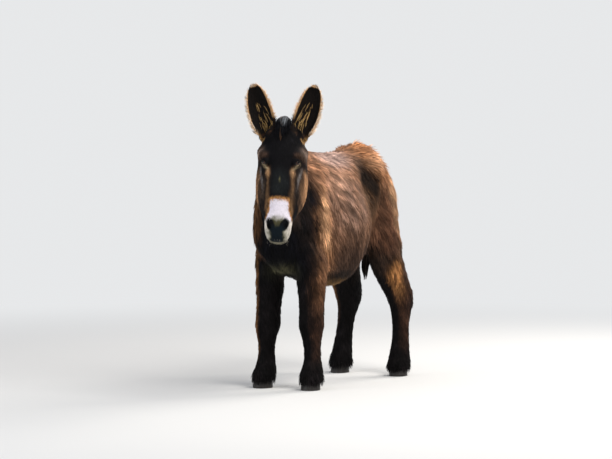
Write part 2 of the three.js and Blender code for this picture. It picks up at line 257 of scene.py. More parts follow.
# The eyeballs look outward and forward. The almond opening of the lids slopes up to its outer
# corner. Each frame has the directions along the opening, up across it and out of the eye.
EYE = 0.020  # radius
EYE_FRAMES = {}
for side in (1, -1):
    gaze = unit(np.array([side * 0.73, -0.68, -0.08]))
    slope = unit(np.cross(gaze, [0, 0, 1]) * -side + [0, 0, 0.42])
    slope = unit(slope - gaze * (slope @ gaze))
    rise = unit(np.cross(gaze, slope))
    EYE_FRAMES[side] = np.stack([slope, rise * np.sign(rise[2]), gaze])


# Below 1 inside the opening between the lids, for a direction in the frame of the eye.
def opening(local):
    across, up = local[..., 0], local[..., 1]
    return (across / 0.74) ** 2 + ((up + 0.08) / (0.40 - 0.14 * across**2)) ** 2


parts = [copy_of(node) for node in FLESH]
for name in ("eye_left", "eye_right"):
    ball = copy_of(name)
    centre = middle(name)
    put(ball, (places(ball) - centre) * SOCKET + centre)
    parts.append(ball)
for flesh in parts:
    shaped(flesh, bpy.ops.transform.shrink_fatten, value=SEAM)
for flesh in parts:
    flesh.select_set(True)
bpy.ops.object.join()
hide = bpy.context.object
hide.name = "hide"
hide.data.name = "hide"
finished(hide, "REMESH", mode="VOXEL", voxel_size=HIDE_GRAIN)

# The flat facets of the solids are eased into muscle, least on the ears, the face and the shins.
part = shares(places(hide))
ease = 1 - 0.62 * part["head"] - 0.94 * part["ear"] - 0.5 * part["leg"]
soft = hide.vertex_groups.new(name="soft")
for step in range(1, 11):
    chosen = np.flatnonzero(np.clip(np.ceil(ease * 10), 1, 10) == step)
    soft.add(chosen.tolist(), step / 10, "REPLACE")
finished(hide, "SMOOTH", factor=0.5, iterations=60, vertex_group="soft")

points, normals = places(hide), outward(hide)
points -= normals * coat_depth(points)[:, None]


# Bone and muscle: each form is a place, its radii and how far it pushes the surface out or in.
def pushed(points, normals, where, forms, share):
    for at, radii, push in forms:
        away = (((where - at) / np.array(radii)) ** 2).sum(1)
        points += normals * (share * push * np.exp(-away))[:, None]


# The head's are in its own axes, on both sides alike.
HEAD_FORMS = [
    ((0.089, -0.070, -0.162), (0.024, 0.034, 0.022), 0.011),  # ridge over the eye
    ((0.114, -0.026, -0.156), (0.030, 0.050, 0.030), 0.006),  # its outer end
    ((0.108, -0.010, -0.128), (0.034, 0.050, 0.024), 0.009),  # temple
    ((0.080, -0.050, -0.120), (0.022, 0.026, 0.024), -0.006),  # hollow above it
    ((0.060, -0.090, -0.236), (0.014, 0.020, 0.026), -0.005),  # tear hollow
    ((0.096, -0.030, -0.290), (0.020, 0.012, 0.050), 0.004),  # cheek crest
    ((0.080, -0.028, -0.370), (0.018, 0.010, 0.050), 0.003),
    ((0.098, 0.010, -0.350), (0.030, 0.030, 0.050), -0.001),  # under the crest
    ((0.112, 0.030, -0.350), (0.034, 0.070, 0.080), 0.004),  # broad lower cheek
    ((0.110, 0.080, -0.230), (0.030, 0.050, 0.070), 0.004),  # chewing muscle
    ((0.040, -0.062, -0.455), (0.020, 0.020, 0.030), -0.003),  # above the nostril
    ((0.056, -0.046, -0.532), (0.012, 0.026, 0.030), 0.004),  # nostril wing
    ((0.030, -0.058, -0.526), (0.010, 0.016, 0.026), 0.003),  # its inner rim
    ((0.000, -0.040, -0.580), (0.034, 0.030, 0.016), 0.004),  # upper lip
    ((0.000, 0.016, -0.592), (0.050, 0.007, 0.018), -0.006),  # gap between the lips
    ((0.000, 0.060, -0.560), (0.038, 0.024, 0.028), 0.007),  # chin
    ((0.000, 0.088, -0.480), (0.050, 0.024, 0.034), -0.009),  # groove behind it
]
face = in_head(points)
mirrored = np.abs(face[:, :1]) * [1, 0, 0] + face * [0, 1, 1]
on_head = (part["head"] > 0.5) & (part["ear"] < 0.5)
pushed(points, normals, mirrored, HEAD_FORMS, on_head)

# The body's are out from the midline, back from the barrel's middle and up from the ground.
BODY_FORMS = [
    ((0.165, 0.262, 1.065), (0.09, 0.052, 0.080), -0.018),  # hollow of the flank
    ((0.160, 0.345, 1.130), (0.06, 0.045, 0.050), 0.009),  # point of the hip
    ((0.190, -0.130, 0.920), (0.09, 0.030, 0.150), -0.010),  # behind the shoulder
    ((0.170, -0.225, 0.930), (0.09, 0.055, 0.150), 0.008),  # shoulder blade and its muscle
    ((0.170, -0.170, 0.665), (0.06, 0.050, 0.080), 0.014),  # point of the elbow
    ((0.200, 0.225, 0.830), (0.09, 0.060, 0.120), 0.008),  # last ribs and belly
    ((0.180, 0.304, 0.800), (0.09, 0.028, 0.100), -0.016),  # fold of the flank
    ((0.180, 0.370, 0.780), (0.07, 0.050, 0.070), 0.008),  # stifle
]
body = np.stack([np.abs(points[:, 0] + MIDLINE), points[:, 1] - BARREL_Y, points[:, 2]], axis=1)
pushed(points, normals, body, BODY_FORMS, ~on_head)

# The nostril is a comma-shaped slit, leaning out at the top, and the mouth a line round the lips.
NOSTRIL_DEPTH, MOUTH_DEPTH = 0.013, 0.006
slit = mirrored[:, 0] - 0.038 - 0.012 * ramp(mirrored[:, 2], -0.545, -0.500)
nostril = np.exp(-((slit / 0.0095) ** 4) - ((mirrored[:, 2] + 0.520) / 0.021) ** 4)
nostril *= mirrored[:, 1] < -0.01
points += normals * (on_head * nostril * -NOSTRIL_DEPTH)[:, None]
lip_line = 0.018 + 0.32 * (mirrored[:, 2] + 0.585)
mouth = np.exp(-(((mirrored[:, 1] - lip_line) / 0.0055) ** 2)) * ramp(-mirrored[:, 2], 0.50, 0.53)
points += normals * (on_head * mouth * -MOUTH_DEPTH)[:, None]
put(hide, points)
finished(hide, "SMOOTH", factor=0.4, iterations=2)
hide.vertex_groups.clear()

# The skin is drawn over each eyeball, thinnest by the opening, and in under the lids at it.
THIN_SKIN, FOLD_MORE, TUCK, EYE_ROOM = 0.0012, 0.0036, 0.006, 0.016
points = places(hide)
face = in_head(points)
for side, frame_of_eye in EYE_FRAMES.items():
    from_eye = face - EYE_AT * [side, 1, 1]
    reach = np.linalg.norm(from_eye, axis=1)
    local = (from_eye / reach[:, None]) @ frame_of_eye.T
    ahead = local[:, 2] > 0.05
    gap = np.where(ahead, opening(local), 9)
    over_ball = EYE + THIN_SKIN + FOLD_MORE * ramp(gap, 1.4, 3.2)
    over_ball = np.where(gap < 1.1, EYE - TUCK, over_ball)
    near = reach < EYE + EYE_ROOM
    wanted = np.where(gap < 1.1, over_ball, np.maximum(reach, over_ball))
    wanted = np.where(ahead & near, wanted, reach)
    face += from_eye / reach[:, None] * (wanted - reach)[:, None]
put(hide, out_of_head(face))

# Lids: a thin rim round each opening.
LID_AT, LID_WALL = EYE + 0.0008, 0.0026
lids = []
for name, side in (("left", 1), ("right", -1)):
    bpy.ops.mesh.primitive_uv_sphere_add(segments=56, ring_count=32, radius=LID_AT)
    lid = bpy.context.object
    local = unit(places(lid))
    gap = opening(local)
    gone = (gap < 1) | (gap > 3.4) | (local[:, 2] < 0.05)
    shaped(lid, bpy.ops.mesh.delete, chosen=gone, type="VERT")
    finished(lid, "SMOOTH", factor=0.5, iterations=4)
    put(lid, unit(places(lid)) * LID_AT)
    finished(lid, "SOLIDIFY", thickness=LID_WALL, offset=1.0)
    finished(lid, "SUBSURF", levels=1, render_levels=1)
    put(lid, places(lid) @ EYE_FRAMES[side] @ HEAD_AXES.T + np.array(middle("eye_" + name)))
    lids.append(lid)

# Head and ears keep all their faces.
part = shares(places(hide))
fine = (part["head"] + part["ear"]) > 0.3
corners = np.empty(len(hide.data.loops), np.int32)
hide.data.loops.foreach_get("vertex_index", corners)
coarse = ~fine[corners.reshape(-1, 4)].any(1)
shaped(hide, bpy.ops.mesh.decimate, chosen=coarse, of="polygons", ratio=BODY_KEPT)
for lid in lids:
    lid.select_set(True)
hide.select_set(True)
bpy.context.view_layer.objects.active = hide
bpy.ops.object.join()
bpy.ops.object.shade_smooth()


# A colour written as on screen, as the amounts of light that the materials take.
def paint(code):
    value = np.array([int(code[i : i + 2], 16) for i in (0, 2, 4)]) / 255
    return np.where(value <= 0.04045, value / 12.92, ((value + 0.055) / 1.055) ** 2.4)


# Lays one colour after another over those of the hide, each by its share at each point.
def brush(colour):
    def over(code, share):
        colour[:] += (paint(code) - colour) * np.clip(share, 0, 1)[:, None]

    return over


# Brown back and ribs with greyer patches, a pale top to the back partly brightened as painted
# sheen, a golden croup, a near-black breast and legs, a flank near black in its hollow where darker
# hair carries painted shade, and a tan band down the shoulder. Painted shade and painted rim light
# lie on the near and far sides of the front. cloudy and streak are soft and fine changes of tone.
def mark_body(colour, points, normals, part, cloudy, streak):
    over = brush(colour)
    side = np.abs(points[:, 0] + MIDLINE)
    y, z = points[:, 1] - BARREL_Y, points[:, 2]
    body = np.stack([side, y, z], axis=1)
    high = z + 0.03 * cloudy
    over("93684c", ramp(high, 0.98, 1.12))
    over("c0947a", blob(body, (0.15, -0.07, 1.075), (0.11, 0.14, 0.08), 1.5) * (0.7 + 0.3 * cloudy))
    over("83695c", blob(body, (0.21, 0.02, 0.97), (0.2, 0.20, 0.16)) * (0.6 + 0.3 * cloudy))
    # A pale lavender patch along the top of the back: bleached hair, brightened further as painted
    # sheen.
    over("b59c95", blob(body, (0.06, 0.03, 1.21), (0.12, 0.16, 0.07)) * 0.7)
    over("46342a", 1 - ramp(high, 0.68, 0.95))
    over("261c16", 1 - ramp(high, 0.57, 0.70))
    over("ab754f", ramp(y, 0.20, 0.36) * ramp(high, 1.02, 1.14))
    over("cb9c78", blob(body, (0.15, 0.36, 1.18), (0.07, 0.12, 0.05)) * (0.6 + 0.5 * cloudy))
    over("563a2b", ramp(y, 0.30, 0.40) * (1 - ramp(high, 0.96, 1.12)))
    buttock = ramp(y + 0.02 * cloudy, 0.46, 0.56) * ramp(high, 0.64, 0.90)
    over("bd9470", buttock * (0.75 + 0.3 * cloudy))
    over("2c221c", ramp(y, 0.26, 0.36) * (1 - ramp(high, 0.66, 0.80)))

    # The hollow of the flank leans forward toward its top. Its darker hair carries painted shade,
    # deepest inside the hollow and carried on down below it.
    hollow = body + np.array([0, 0.30, 0]) * np.clip(z - 1.075, -0.1, 0.1)[:, None]
    round_it = blob(hollow, (0.16, 0.285, 1.06), (0.18, 0.110, 0.160), 1)
    over("45321f", round_it * (0.8 + 0.3 * cloudy))
    inside = blob(hollow, (0.16, 0.280, 1.080), (0.17, 0.082, 0.105), 1.5)
    over("211a16", inside * (1.15 + 0.15 * cloudy))
    over("45301f", blob(body, (0.17, 0.262, 0.965), (0.12, 0.050, 0.11)) * 0.8)

    # Neck and breast, browner on their far side as painted rim light, with painted shade on the
    # near side and where the low front faces forward.
    front = 1 - ramp(y + 0.030 * cloudy, -0.320, -0.245)
    low_front = 1 - ramp(high + 0.02 * cloudy, 0.90, 1.16)
    forward = ramp(-normals[:, 1], -0.05, 0.30)
    over("5a4130", front * (1 - low_front) * (0.65 + 0.4 * cloudy))
    nape = blob(body, (0.11, -0.286, 1.05), (0.10, 0.062, 0.12))
    over("3c281d", nape * (0.70 + 0.2 * cloudy + 0.45 * streak))
    breast = (1 - ramp(y + 0.05 * cloudy, -0.33, -0.20)) * (1 - ramp(high, 0.96, 1.16))
    over("38281e", breast * 0.55)
    over("251b16", front * low_front * (1.1 + 0.25 * streak))
    # Painted shade: near black where the low front faces forward.
    over("06060b", front * ramp(low_front, 0.05, 0.65) * forward)
    # Painted rim light: brown along the far side of the neck and breast.
    far_side_rim_light = ramp(-normals[:, 0], 0.55, 0.95) * (points[:, 0] < -MIDLINE)
    over("6b4a30", front * far_side_rim_light * (0.5 + 0.35 * cloudy + 0.35 * streak))
    # Painted shade: darker on the near side of the throat and breast.
    near_side_shade = ramp(normals[:, 0], 0.75, 0.98) * (0.4 + 0.6 * cloudy) * ramp(y, -0.45, -0.30)
    over("2b211b", front * near_side_shade)

    # The tan band down the shoulder, at its place from the belly up to the withers.
    levels = [0.66, 0.74, 0.83, 0.93, 1.03, 1.10, 1.19]
    band = np.interp(z, levels, [-0.168, -0.192, -0.232, -0.238, -0.216, -0.192, -0.150])
    band_half = 0.052 - 0.022 * ramp(z, 0.90, 1.02)
    mantle = np.exp(-(((y - band + 0.014 * cloudy) / band_half) ** 2)) * ramp(side, 0.07, 0.12)
    mantle *= ramp(z, 0.56, 0.68) * (1 - ramp(high, 1.02, 1.20))
    over("a0714f", mantle * (0.85 + 0.25 * cloudy + 0.25 * streak))
    bright = np.exp(-(((y - band) / 0.032) ** 2)) * ramp(z, 0.72, 0.80) * (1 - ramp(z, 1.00, 1.12))
    over("d2a27a", mantle * bright * (0.95 + 0.2 * streak))
    # A grey-green patch low on the breast: grey hair under a painted highlight.
    over("67644a", blob(body, (0.03, -0.375, 0.630), (0.05, 0.06, 0.05), 1) * 0.6)
    belly = ramp(-normals[:, 2], 0.62, 0.95) * (z < 0.64)
    over("84602f", belly * ramp(y, -0.2, -0.1) * (1 - ramp(y, 0.1, 0.3)) * 0.7)

    # Legs and tail: near black, browner outside, with a tan patch over the hock, and painted rim
    # light, brown, along the far side's outline.
    outer = ramp(normals[:, 0] * np.sign(points[:, 0] + MIDLINE) + 0.1 * cloudy, 0.15, 1.0)
    dark_leg = part["leg"] * (1 - ramp(high, 0.50, 0.62) * ramp(y, 0.3, 0.4) * 0.6)
    over("0f0c0d", dark_leg)
    over("4d3427", part["leg"] * outer * (0.45 + 0.35 * cloudy) * ramp(z, 0.1, 0.3))
    gaskin = blob(body, (0.21, 0.490, 0.560), (0.09, 0.052, 0.100), 1.4)
    over("98693f", gaskin * outer * (0.95 + 0.35 * streak))
    over("6b4a2c", blob(body, (0.21, 0.535, 0.465), (0.06, 0.04, 0.07), 1) * outer * 0.8)
    forearm = blob(body, (0.19, -0.27, 0.58), (0.07, 0.06, 0.13), 1)
    over("77533a", forearm * outer * (0.8 + 0.3 * streak))
    # Painted rim light: brown along the outline of the far side's forelegs and shoulder.
    far_edge_rim_light = ramp(-normals[:, 0], 0.28, 0.75) * (points[:, 0] < -MIDLINE)
    far_edge_rim_light = far_edge_rim_light * (1 - ramp(y, -0.22, -0.16))
    far_edge_rim_light *= np.maximum(ramp(side, 0.09, 0.15), 0.7 * ramp(z, 0.74, 0.88))
    far_edge_rim_light *= ramp(z, 0.10, 0.34) * (1 - ramp(z, 0.98, 1.12))
    over("7a5432", far_edge_rim_light * (0.75 + 0.3 * streak))
    over("31241b", part["tail"] * 0.8)


# Near-black face between brown cheeks, tan stripes below the eyes, and a pale muzzle with dark
# nostrils and lips.
def mark_head(colour, points, head, cloudy, streak):
    over = brush(colour)
    local = in_head(points)
    mirrored = np.abs(local[:, 0])
    back, down = local[:, 1], -local[:, 2]
    over("0b0a0d", head)
    over("1d2021", head * blob(local * [1, 0, 1], (0, 0, -0.31), (0.045, 1, 0.075)) * 0.8)
    over("32261e", head * ramp(back + 0.01 * cloudy, 0.0, 0.06) * ramp(mirrored, 0.03, 0.07) * 0.9)

    # Cheeks, temples and the ridge over the eye, with painted rim light along the outer cheeks and
    # a painted highlight on the ridge's outer end.
    ragged_cheek = 0.008 * drift(points, 0.05, 19)
    jowl = ramp(mirrored + ragged_cheek, 0.086, 0.116)
    jowl *= ramp(down, 0.20, 0.27) * (1 - ramp(down, 0.43, 0.50))
    jowl = np.clip(jowl + ramp(back, 0.02, 0.10) * ramp(down, 0.0, 0.10), 0, 1)
    over("73563f", head * jowl * (0.8 + 0.3 * cloudy + 0.15 * streak))
    # Painted rim light: paler brown along the outer edge of each cheek.
    lit = jowl * ramp(mirrored + 0.5 * ragged_cheek, 0.106, 0.128) * (1 - ramp(back, 0.04, 0.12))
    over("a67c59", head * lit * (0.75 + 0.3 * cloudy + 0.2 * streak))
    over("3a2a22", head * ramp(mirrored, 0.085, 0.115) * (1 - ramp(down, 0.16, 0.22)) * 0.8)
    temple = blob(local * [0, 1, 1], (0, 0, -0.17), (1, 0.5, 0.016)) * ramp(mirrored, 0.05, 0.09)
    over("4b382d", head * temple * 0.7)
    under = np.stack([mirrored, back, down], axis=1)
    haze = blob(under, (0.086, -0.03, 0.33), (0.018, 0.06, 0.085))
    over("43362c", head * haze * (0.5 + 0.35 * streak))
    # Painted highlight: paler grey-brown on the outer end of the ridge over the eye.
    ridge = blob(under, (0.114, -0.036, 0.146), (0.024, 0.050, 0.022), 1)
    over("8a766a", head * ridge * (0.65 + 0.3 * streak))

    # Tan stripes below the eyes, the pale crescents under the lids and a painted grey sheen down
    # the cheek crests.
    over("86694f", head * blob(under, (0.062, -0.084, 0.256), (0.015, 0.030, 0.020)) * 0.8)
    brow = ramp(down, 0.215, 0.25) * (1 - ramp(down, 0.44, 0.48))
    lines_up = 0.058 + 0.005 * (local[:, 0] > 0) - 0.003 * drift(points, 0.05, 16)
    stripe = np.exp(-(((mirrored - lines_up) / 0.0085) ** 2)) * brow * (back < -0.02)
    faint = np.where(local[:, 0] > 0, 0.34, 0.46)
    plain = np.maximum(1 - ramp(down, 0.250, 0.295), 0.5 * ramp(down, 0.36, 0.42))
    stripe *= faint + (1 - faint) * plain
    over("96714f", head * stripe * (0.92 + 0.25 * cloudy + 0.25 * streak))
    rim_of_lid = np.interp(mirrored, [0.055, 0.073, 0.086, 0.095], [0.243, 0.232, 0.221, 0.207])
    crescent = np.exp(-(((down - rim_of_lid + 0.002 * streak) / 0.0065) ** 2)) * (back < -0.01)
    crescent *= ramp(mirrored, 0.048, 0.070) * (1 - ramp(mirrored, 0.088, 0.102))
    over("b8a381", head * crescent * (0.62 + 0.2 * streak))
    # Painted sheen: a grey streak down each cheek crest.
    crest = 0.103 - 0.18 * (down - 0.225)
    sheen = np.exp(-(((mirrored - crest + 0.002 * streak) / 0.0048) ** 2))
    sheen *= ramp(down, 0.215, 0.235) * (1 - ramp(down, 0.28, 0.36)) * (back < 0.03)
    over("77716f", head * sheen * (0.60 + 0.3 * streak))
    star = np.exp(-(((down - 0.292) / 0.009) ** 2) - (mirrored / 0.0035) ** 2)
    over("77704c", head * (mirrored < 0.02) * star * 0.8)

    # The white patch over the nose, with its tan edge, and the pale muzzle below.
    from_middle = np.abs(local[:, 0] - 0.003)
    top = 0.392 + 0.003 * (from_middle / 0.045) ** 2
    wide = 0.044 + 0.016 * ramp(down, 0.43, 0.49)
    ragged = 0.003 * drift(local, 0.012, 15)
    loose = ragged + 0.004 * drift(local, 0.03, 25)
    edge = ramp(down + ragged, top - 0.021, top - 0.008)
    edge *= 1 - ramp(from_middle + ragged, wide + 0.004, wide + 0.012)
    over("a67646", head * edge * (1 - ramp(down, 0.47, 0.50)) * (back < 0))
    patch = ramp(down + ragged, top - 0.005, top + 0.006)
    patch *= (1 - ramp(from_middle + ragged, wide - 0.003, wide + 0.004)) * (back < 0.0)
    over("e3dce6", head * patch)
    over("d8cfc6", head * ramp(down + 0.004 * cloudy, 0.480, 0.500))
    over("c4beb2", head * ramp(down, 0.520, 0.555))
    over("706d60", head * ramp(down + loose, 0.556, 0.580) * ramp(back, -0.01, 0.02) * 0.9)
    near_middle = 1 - ramp(mirrored + loose, 0.038, 0.056)
    over("7d7866", head * ramp(down, 0.525, 0.545) * near_middle * 0.75)
    between = ramp(down + loose, 0.462, 0.492) * (back < 0.0)
    between *= 1 - ramp(mirrored + loose, 0.026, 0.046)
    over("8b897c", head * between * 0.85)
    over("46432f", head * between * ramp(down + loose, 0.480, 0.506))

    # Nostrils, lips and the line of the mouth.
    slant = 0.038 - 0.30 * np.clip(down - 0.505, -0.01, 0.05)
    hole = ((mirrored - slant) / 0.021) ** 2 + ((down - 0.517) / 0.034) ** 2
    over("08080b", head * (1 - ramp(hole + 40 * ragged, 0.6, 1.35)) * (back < 0.0))
    lip = 1 - ramp(mirrored + loose + 0.006 * ramp(down, 0.52, 0.58), 0.029, 0.045)
    lip *= ramp(down + loose, 0.510, 0.540) * (1 - ramp(back + 1.5 * loose, 0.0, 0.028))
    over("0c151b", head * lip)
    gape = np.exp(-(((back - 0.018 - 0.32 * (0.585 - down)) / 0.003) ** 2)) * ramp(down, 0.50, 0.53)
    over("17120f", head * gape * 0.85)


# Ears: brown behind, black inside, with a tan rim and foot.
def mark_ears(colour, points, streak):
    over = brush(colour)
    for sign in (1, -1):
        share, height, round_it, depth = in_ear(points, sign)
        inner = 1 - ramp(depth, -0.002, 0.002)
        over("2a1f18", share * (1 - inner))
        over("0c0a0a", share * inner)
        rim = ramp(np.abs(round_it), 0.88, 0.95) * ramp(height + 0.25 * (round_it > 0), 0.34, 0.44)
        rim = np.maximum(rim, ramp(height, 0.945, 0.98))
        over("b58a5e", share * rim)
        foot = ramp(round_it, 0.40, 0.75) * ramp(height, -0.10, 0.0)
        foot *= 1 - ramp(height, 0.16, 0.30)
        over("a5804f", foot * (np.abs(depth) < 0.016) * (0.7 + 0.4 * streak))


# The colour at each place, for the hide and for the hair that grows from it.
def markings(points, normals):
    part = shares(points)
    colour = np.tile(paint("785640"), (len(points), 1))
    cloudy = drift(points, 0.16, 3) * 0.5 + drift(points, 0.07, 4) * 0.35
    streak = drift(points - points[:, 2:] * [0, 0, 0.85], 0.024, 27)
    mark_body(colour, points, normals, part, cloudy, streak)
    mark_head(colour, points, part["head"], cloudy, streak)
    mark_ears(colour, points, streak)
    return np.clip(colour, 0, 1)


def wear_attribute(piece, name, colours):
    layer = piece.data.color_attributes.new(name, "FLOAT_COLOR", "POINT")
    full = np.ones((len(colours), 4), np.float32)
    full[:, :3] = colours
    layer.data.foreach_set("color", full.ravel())


wear_attribute(hide, "Tint", markings(places(hide), outward(hide)))
hide.data.materials.clear()


def new_material(name, roughness, **sockets):
    material = bpy.data.materials.new(name)
    material.use_nodes = True
    shader = material.node_tree.nodes["Principled BSDF"]
    shader.inputs["Roughness"].default_value = roughness
    for key, value in sockets.items():
        shader.inputs[key.replace("_", " ")].default_value = value
    return material, material.node_tree.nodes, material.node_tree.links, shader


def math_node(nodes, links, kind, *values):
    node = nodes.new("ShaderNodeMath")
    node.operation = kind
    for socket, value in zip(node.inputs, values):
        if isinstance(value, (int, float)):
            socket.default_value = value
        else:
            links.new(value, socket)
    return node.outputs[0]


# Noise drawn out along one axis, as hair and horn are. scale is in turns per metre.
def drawn_noise(nodes, links, place, scale, detail):
    drawn = nodes.new("ShaderNodeMapping")
    drawn.inputs["Scale"].default_value = scale
    links.new(place, drawn.inputs["Vector"])
    noise = nodes.new("ShaderNodeTexNoise")
    noise.inputs["Detail"].default_value = detail
    noise.inputs["Scale"].default_value = 1
    links.new(drawn.outputs["Vector"], noise.inputs["Vector"])
    return noise.outputs["Fac"]


# The markings, from dark where the noise is 0 to dark + contrast where it is 1.
def tinted(nodes, links, shader, noise, contrast, dark):
    tint = nodes.new("ShaderNodeAttribute")
    tint.attribute_name = "Tint"
    mixed = nodes.new("ShaderNodeVectorMath")
    mixed.operation = "SCALE"
    links.new(tint.outputs["Color"], mixed.inputs[0])
    shade = math_node(nodes, links, "MULTIPLY_ADD", noise, contrast, dark)
    links.new(shade, mixed.inputs["Scale"])
    links.new(mixed.outputs[0], shader.inputs["Base Color"])


def relief(nodes, links, shader, height, strength, distance):
    bump = nodes.new("ShaderNodeBump")
    bump.inputs["Strength"].default_value = strength
    bump.inputs["Distance"].default_value = distance
    links.new(height, bump.inputs["Height"])
    links.new(bump.outputs["Normal"], shader.inputs["Normal"])


# Short hair lying flat: streaks of light and dark along the hide, and a fine nap in the bump.
def hide_material():
    material, nodes, links, shader = new_material("hide", 0.75, Specular_IOR_Level=0.08)
    where = nodes.new("ShaderNodeTexCoord")
    nap = drawn_noise(nodes, links, where.outputs["Object"], (420, 420, 90), 3)
    tinted(nodes, links, shader, nap, 0.9, 0.45)
    relief(nodes, links, shader, nap, 0.5, 0.002)
    return material


hide.data.materials.append(hide_material())
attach(hide, "root")
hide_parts(*FLESH)

# ---------------------------------------------------------------- the coat
# Long winter hair in thin, overlapping locks, each a tapering three-sided solid rooted in the hide
# and lying the way the coat lies: back and down the body, down the legs, down the face.
ROOT_DEPTH = 0.001  # how far the root of a lock goes into the skin
TUFT_PATCH = 0.003  # the width of its patch on the unwrapped hide


# Places over a piece's surface at about the spacing asked for, with the way each faces.
def roots_on(piece, spacing, seed):
    draw = np.random.default_rng(seed)
    mesh = piece.data
    mesh.calc_loop_triangles()
    corners = np.empty(len(mesh.loop_triangles) * 3, np.int32)
    mesh.loop_triangles.foreach_get("vertices", corners)
    corners = corners.reshape(-1, 3)
    at, facing = places(piece)[corners], outward(piece)[corners]
    area = np.linalg.norm(np.cross(at[:, 1] - at[:, 0], at[:, 2] - at[:, 0]), axis=1) / 2
    wanted = area / spacing(at.mean(1)) ** 2
    count = np.floor(wanted + draw.uniform(size=len(wanted))).astype(int)
    owner = np.repeat(np.arange(len(count)), count)
    weights = draw.dirichlet([1, 1, 1], len(owner))[:, :, None]
    return (at[owner] * weights).sum(1), unit((facing[owner] * weights).sum(1))


def flat_on(vectors, normals):
    return unit(vectors - normals * (vectors * normals).sum(1, keepdims=True))


# The width along a lock, as shares of its widest, at its share of the way to the tip.
def taper(steps, along, widths):
    return np.interp(np.linspace(0, 1, steps), along, widths)[None]


# spine holds the points along each lock, root first. across is the way its flat side lies, for
# all or for each, and half_width how wide it is at each point. tints are the colours of root and
# tip, plots the root's place on the unwrapped hide, and facing the way the hide faces there.
def locks(name, spine, across, half_width, tints, plots, seed, facing=None):
    count, steps = spine.shape[:2]
    flow = unit(np.gradient(spine, axis=1))
    across = np.reshape(across, (-1, 1, 3))
    across = unit(across - flow * (across * flow).sum(-1, keepdims=True))
    ridge = np.cross(across, flow)
    wide = half_width[:, :, None]
    edges = (spine - across * wide, spine + across * wide, spine + ridge * wide * 0.8)
    shaft = np.stack(edges, axis=2)[:, :-1].reshape(count, -1, 3)
    corners = np.concatenate([shaft, spine[:, -1:]], axis=1)
    per_lock = corners.shape[1]
    faces = [(0, 1, 2)]
    for step in range(steps - 2):
        for first, second in ((0, 1), (1, 2), (2, 0)):
            a, b = 3 * step + first, 3 * step + second
            faces += [(a, b + 3, b), (a, a + 3, b + 3)]
    last, tip = 3 * (steps - 2), per_lock - 1
    faces += [(last, tip, last + 1), (last + 1, tip, last + 2), (last + 2, tip, last)]
    faces = np.array(faces)
    index = (faces[None] + np.arange(count)[:, None, None] * per_lock).reshape(-1)
    mesh = bpy.data.meshes.new(name)
    mesh.vertices.add(count * per_lock)
    mesh.vertices.foreach_set("co", corners.astype(np.float32).ravel())
    mesh.loops.add(len(index))
    mesh.loops.foreach_set("vertex_index", index.astype(np.int32))
    total = len(index) // 3
    mesh.polygons.add(total)
    mesh.polygons.foreach_set("loop_start", np.arange(0, len(index), 3, dtype=np.int32))
    mesh.polygons.foreach_set("use_smooth", np.ones(total, bool))
    mesh.update(calc_edges=True)
    if facing is not None:
        facing = np.broadcast_to(facing[:, None], spine.shape)
        lit = np.stack([facing - across * 0.5, facing + across * 0.5, facing], axis=2)
        lit = np.concatenate([lit[:, :-1].reshape(count, -1, 3), facing[:, -1:]], axis=1)
        mesh.normals_split_custom_set_from_vertices(unit(lit).reshape(-1, 3).astype(np.float32))
    along = np.append(np.repeat(np.linspace(0, 1, steps)[:-1], 3), 1.0)
    over = np.append(np.tile([0.0, 1.0, 0.5], steps - 1), 0.5)
    blend = along[None, :, None] ** 0.8
    tint = tints[0][:, None] * (1 - blend) + tints[1][:, None] * blend
    piece = bpy.data.objects.new(name, mesh)
    bpy.context.scene.collection.objects.link(piece)
    wear_attribute(piece, "Tint", tint.reshape(-1, 3))
    strand = mesh.uv_layers.new(name="Strand")
    draw = np.random.default_rng(seed)
    shift = draw.uniform(0, 40, (count, 1))
    drawn = np.stack([over[None] + shift, np.broadcast_to(along, (count, per_lock))], axis=2)
    strand.data.foreach_set("uv", drawn.reshape(-1, 2)[index].astype(np.float32).ravel())
    raised = along + np.append(np.tile([0.0, 0.0, 0.16], steps - 1), 0.0)
    patch = np.stack([over - 0.5, raised - 0.5], axis=1) * TUFT_PATCH
    spots = TUFT_PATCH + (1 - 2 * TUFT_PATCH) * plots[:, None] + patch[None]
    bake = mesh.uv_layers.new(name="OFBake")
    bake.data.foreach_set("uv", spots.reshape(-1, 2)[index].astype(np.float32).ravel())
    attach(piece, "root")
    return piece


# Hair: fine strands drawn along each lock, darker and lower in the bump between them.
def hair_material(name, roughness, contrast):
    material, nodes, links, shader = new_material(
        name, roughness, Specular_IOR_Level=0.08, Sheen_Weight=0.015, Sheen_Roughness=0.4
    )
    strand = nodes.new("ShaderNodeUVMap")
    strand.uv_map = "Strand"
    noise = drawn_noise(nodes, links, strand.outputs["UV"], (7, 1.3, 1), 2)
    tinted(nodes, links, shader, noise, contrast, 1 - contrast / 2)
    relief(nodes, links, shader, noise, 0.35, 0.001)
    return material


coat_hair = hair_material("coat_hair", 0.62, 0.8)


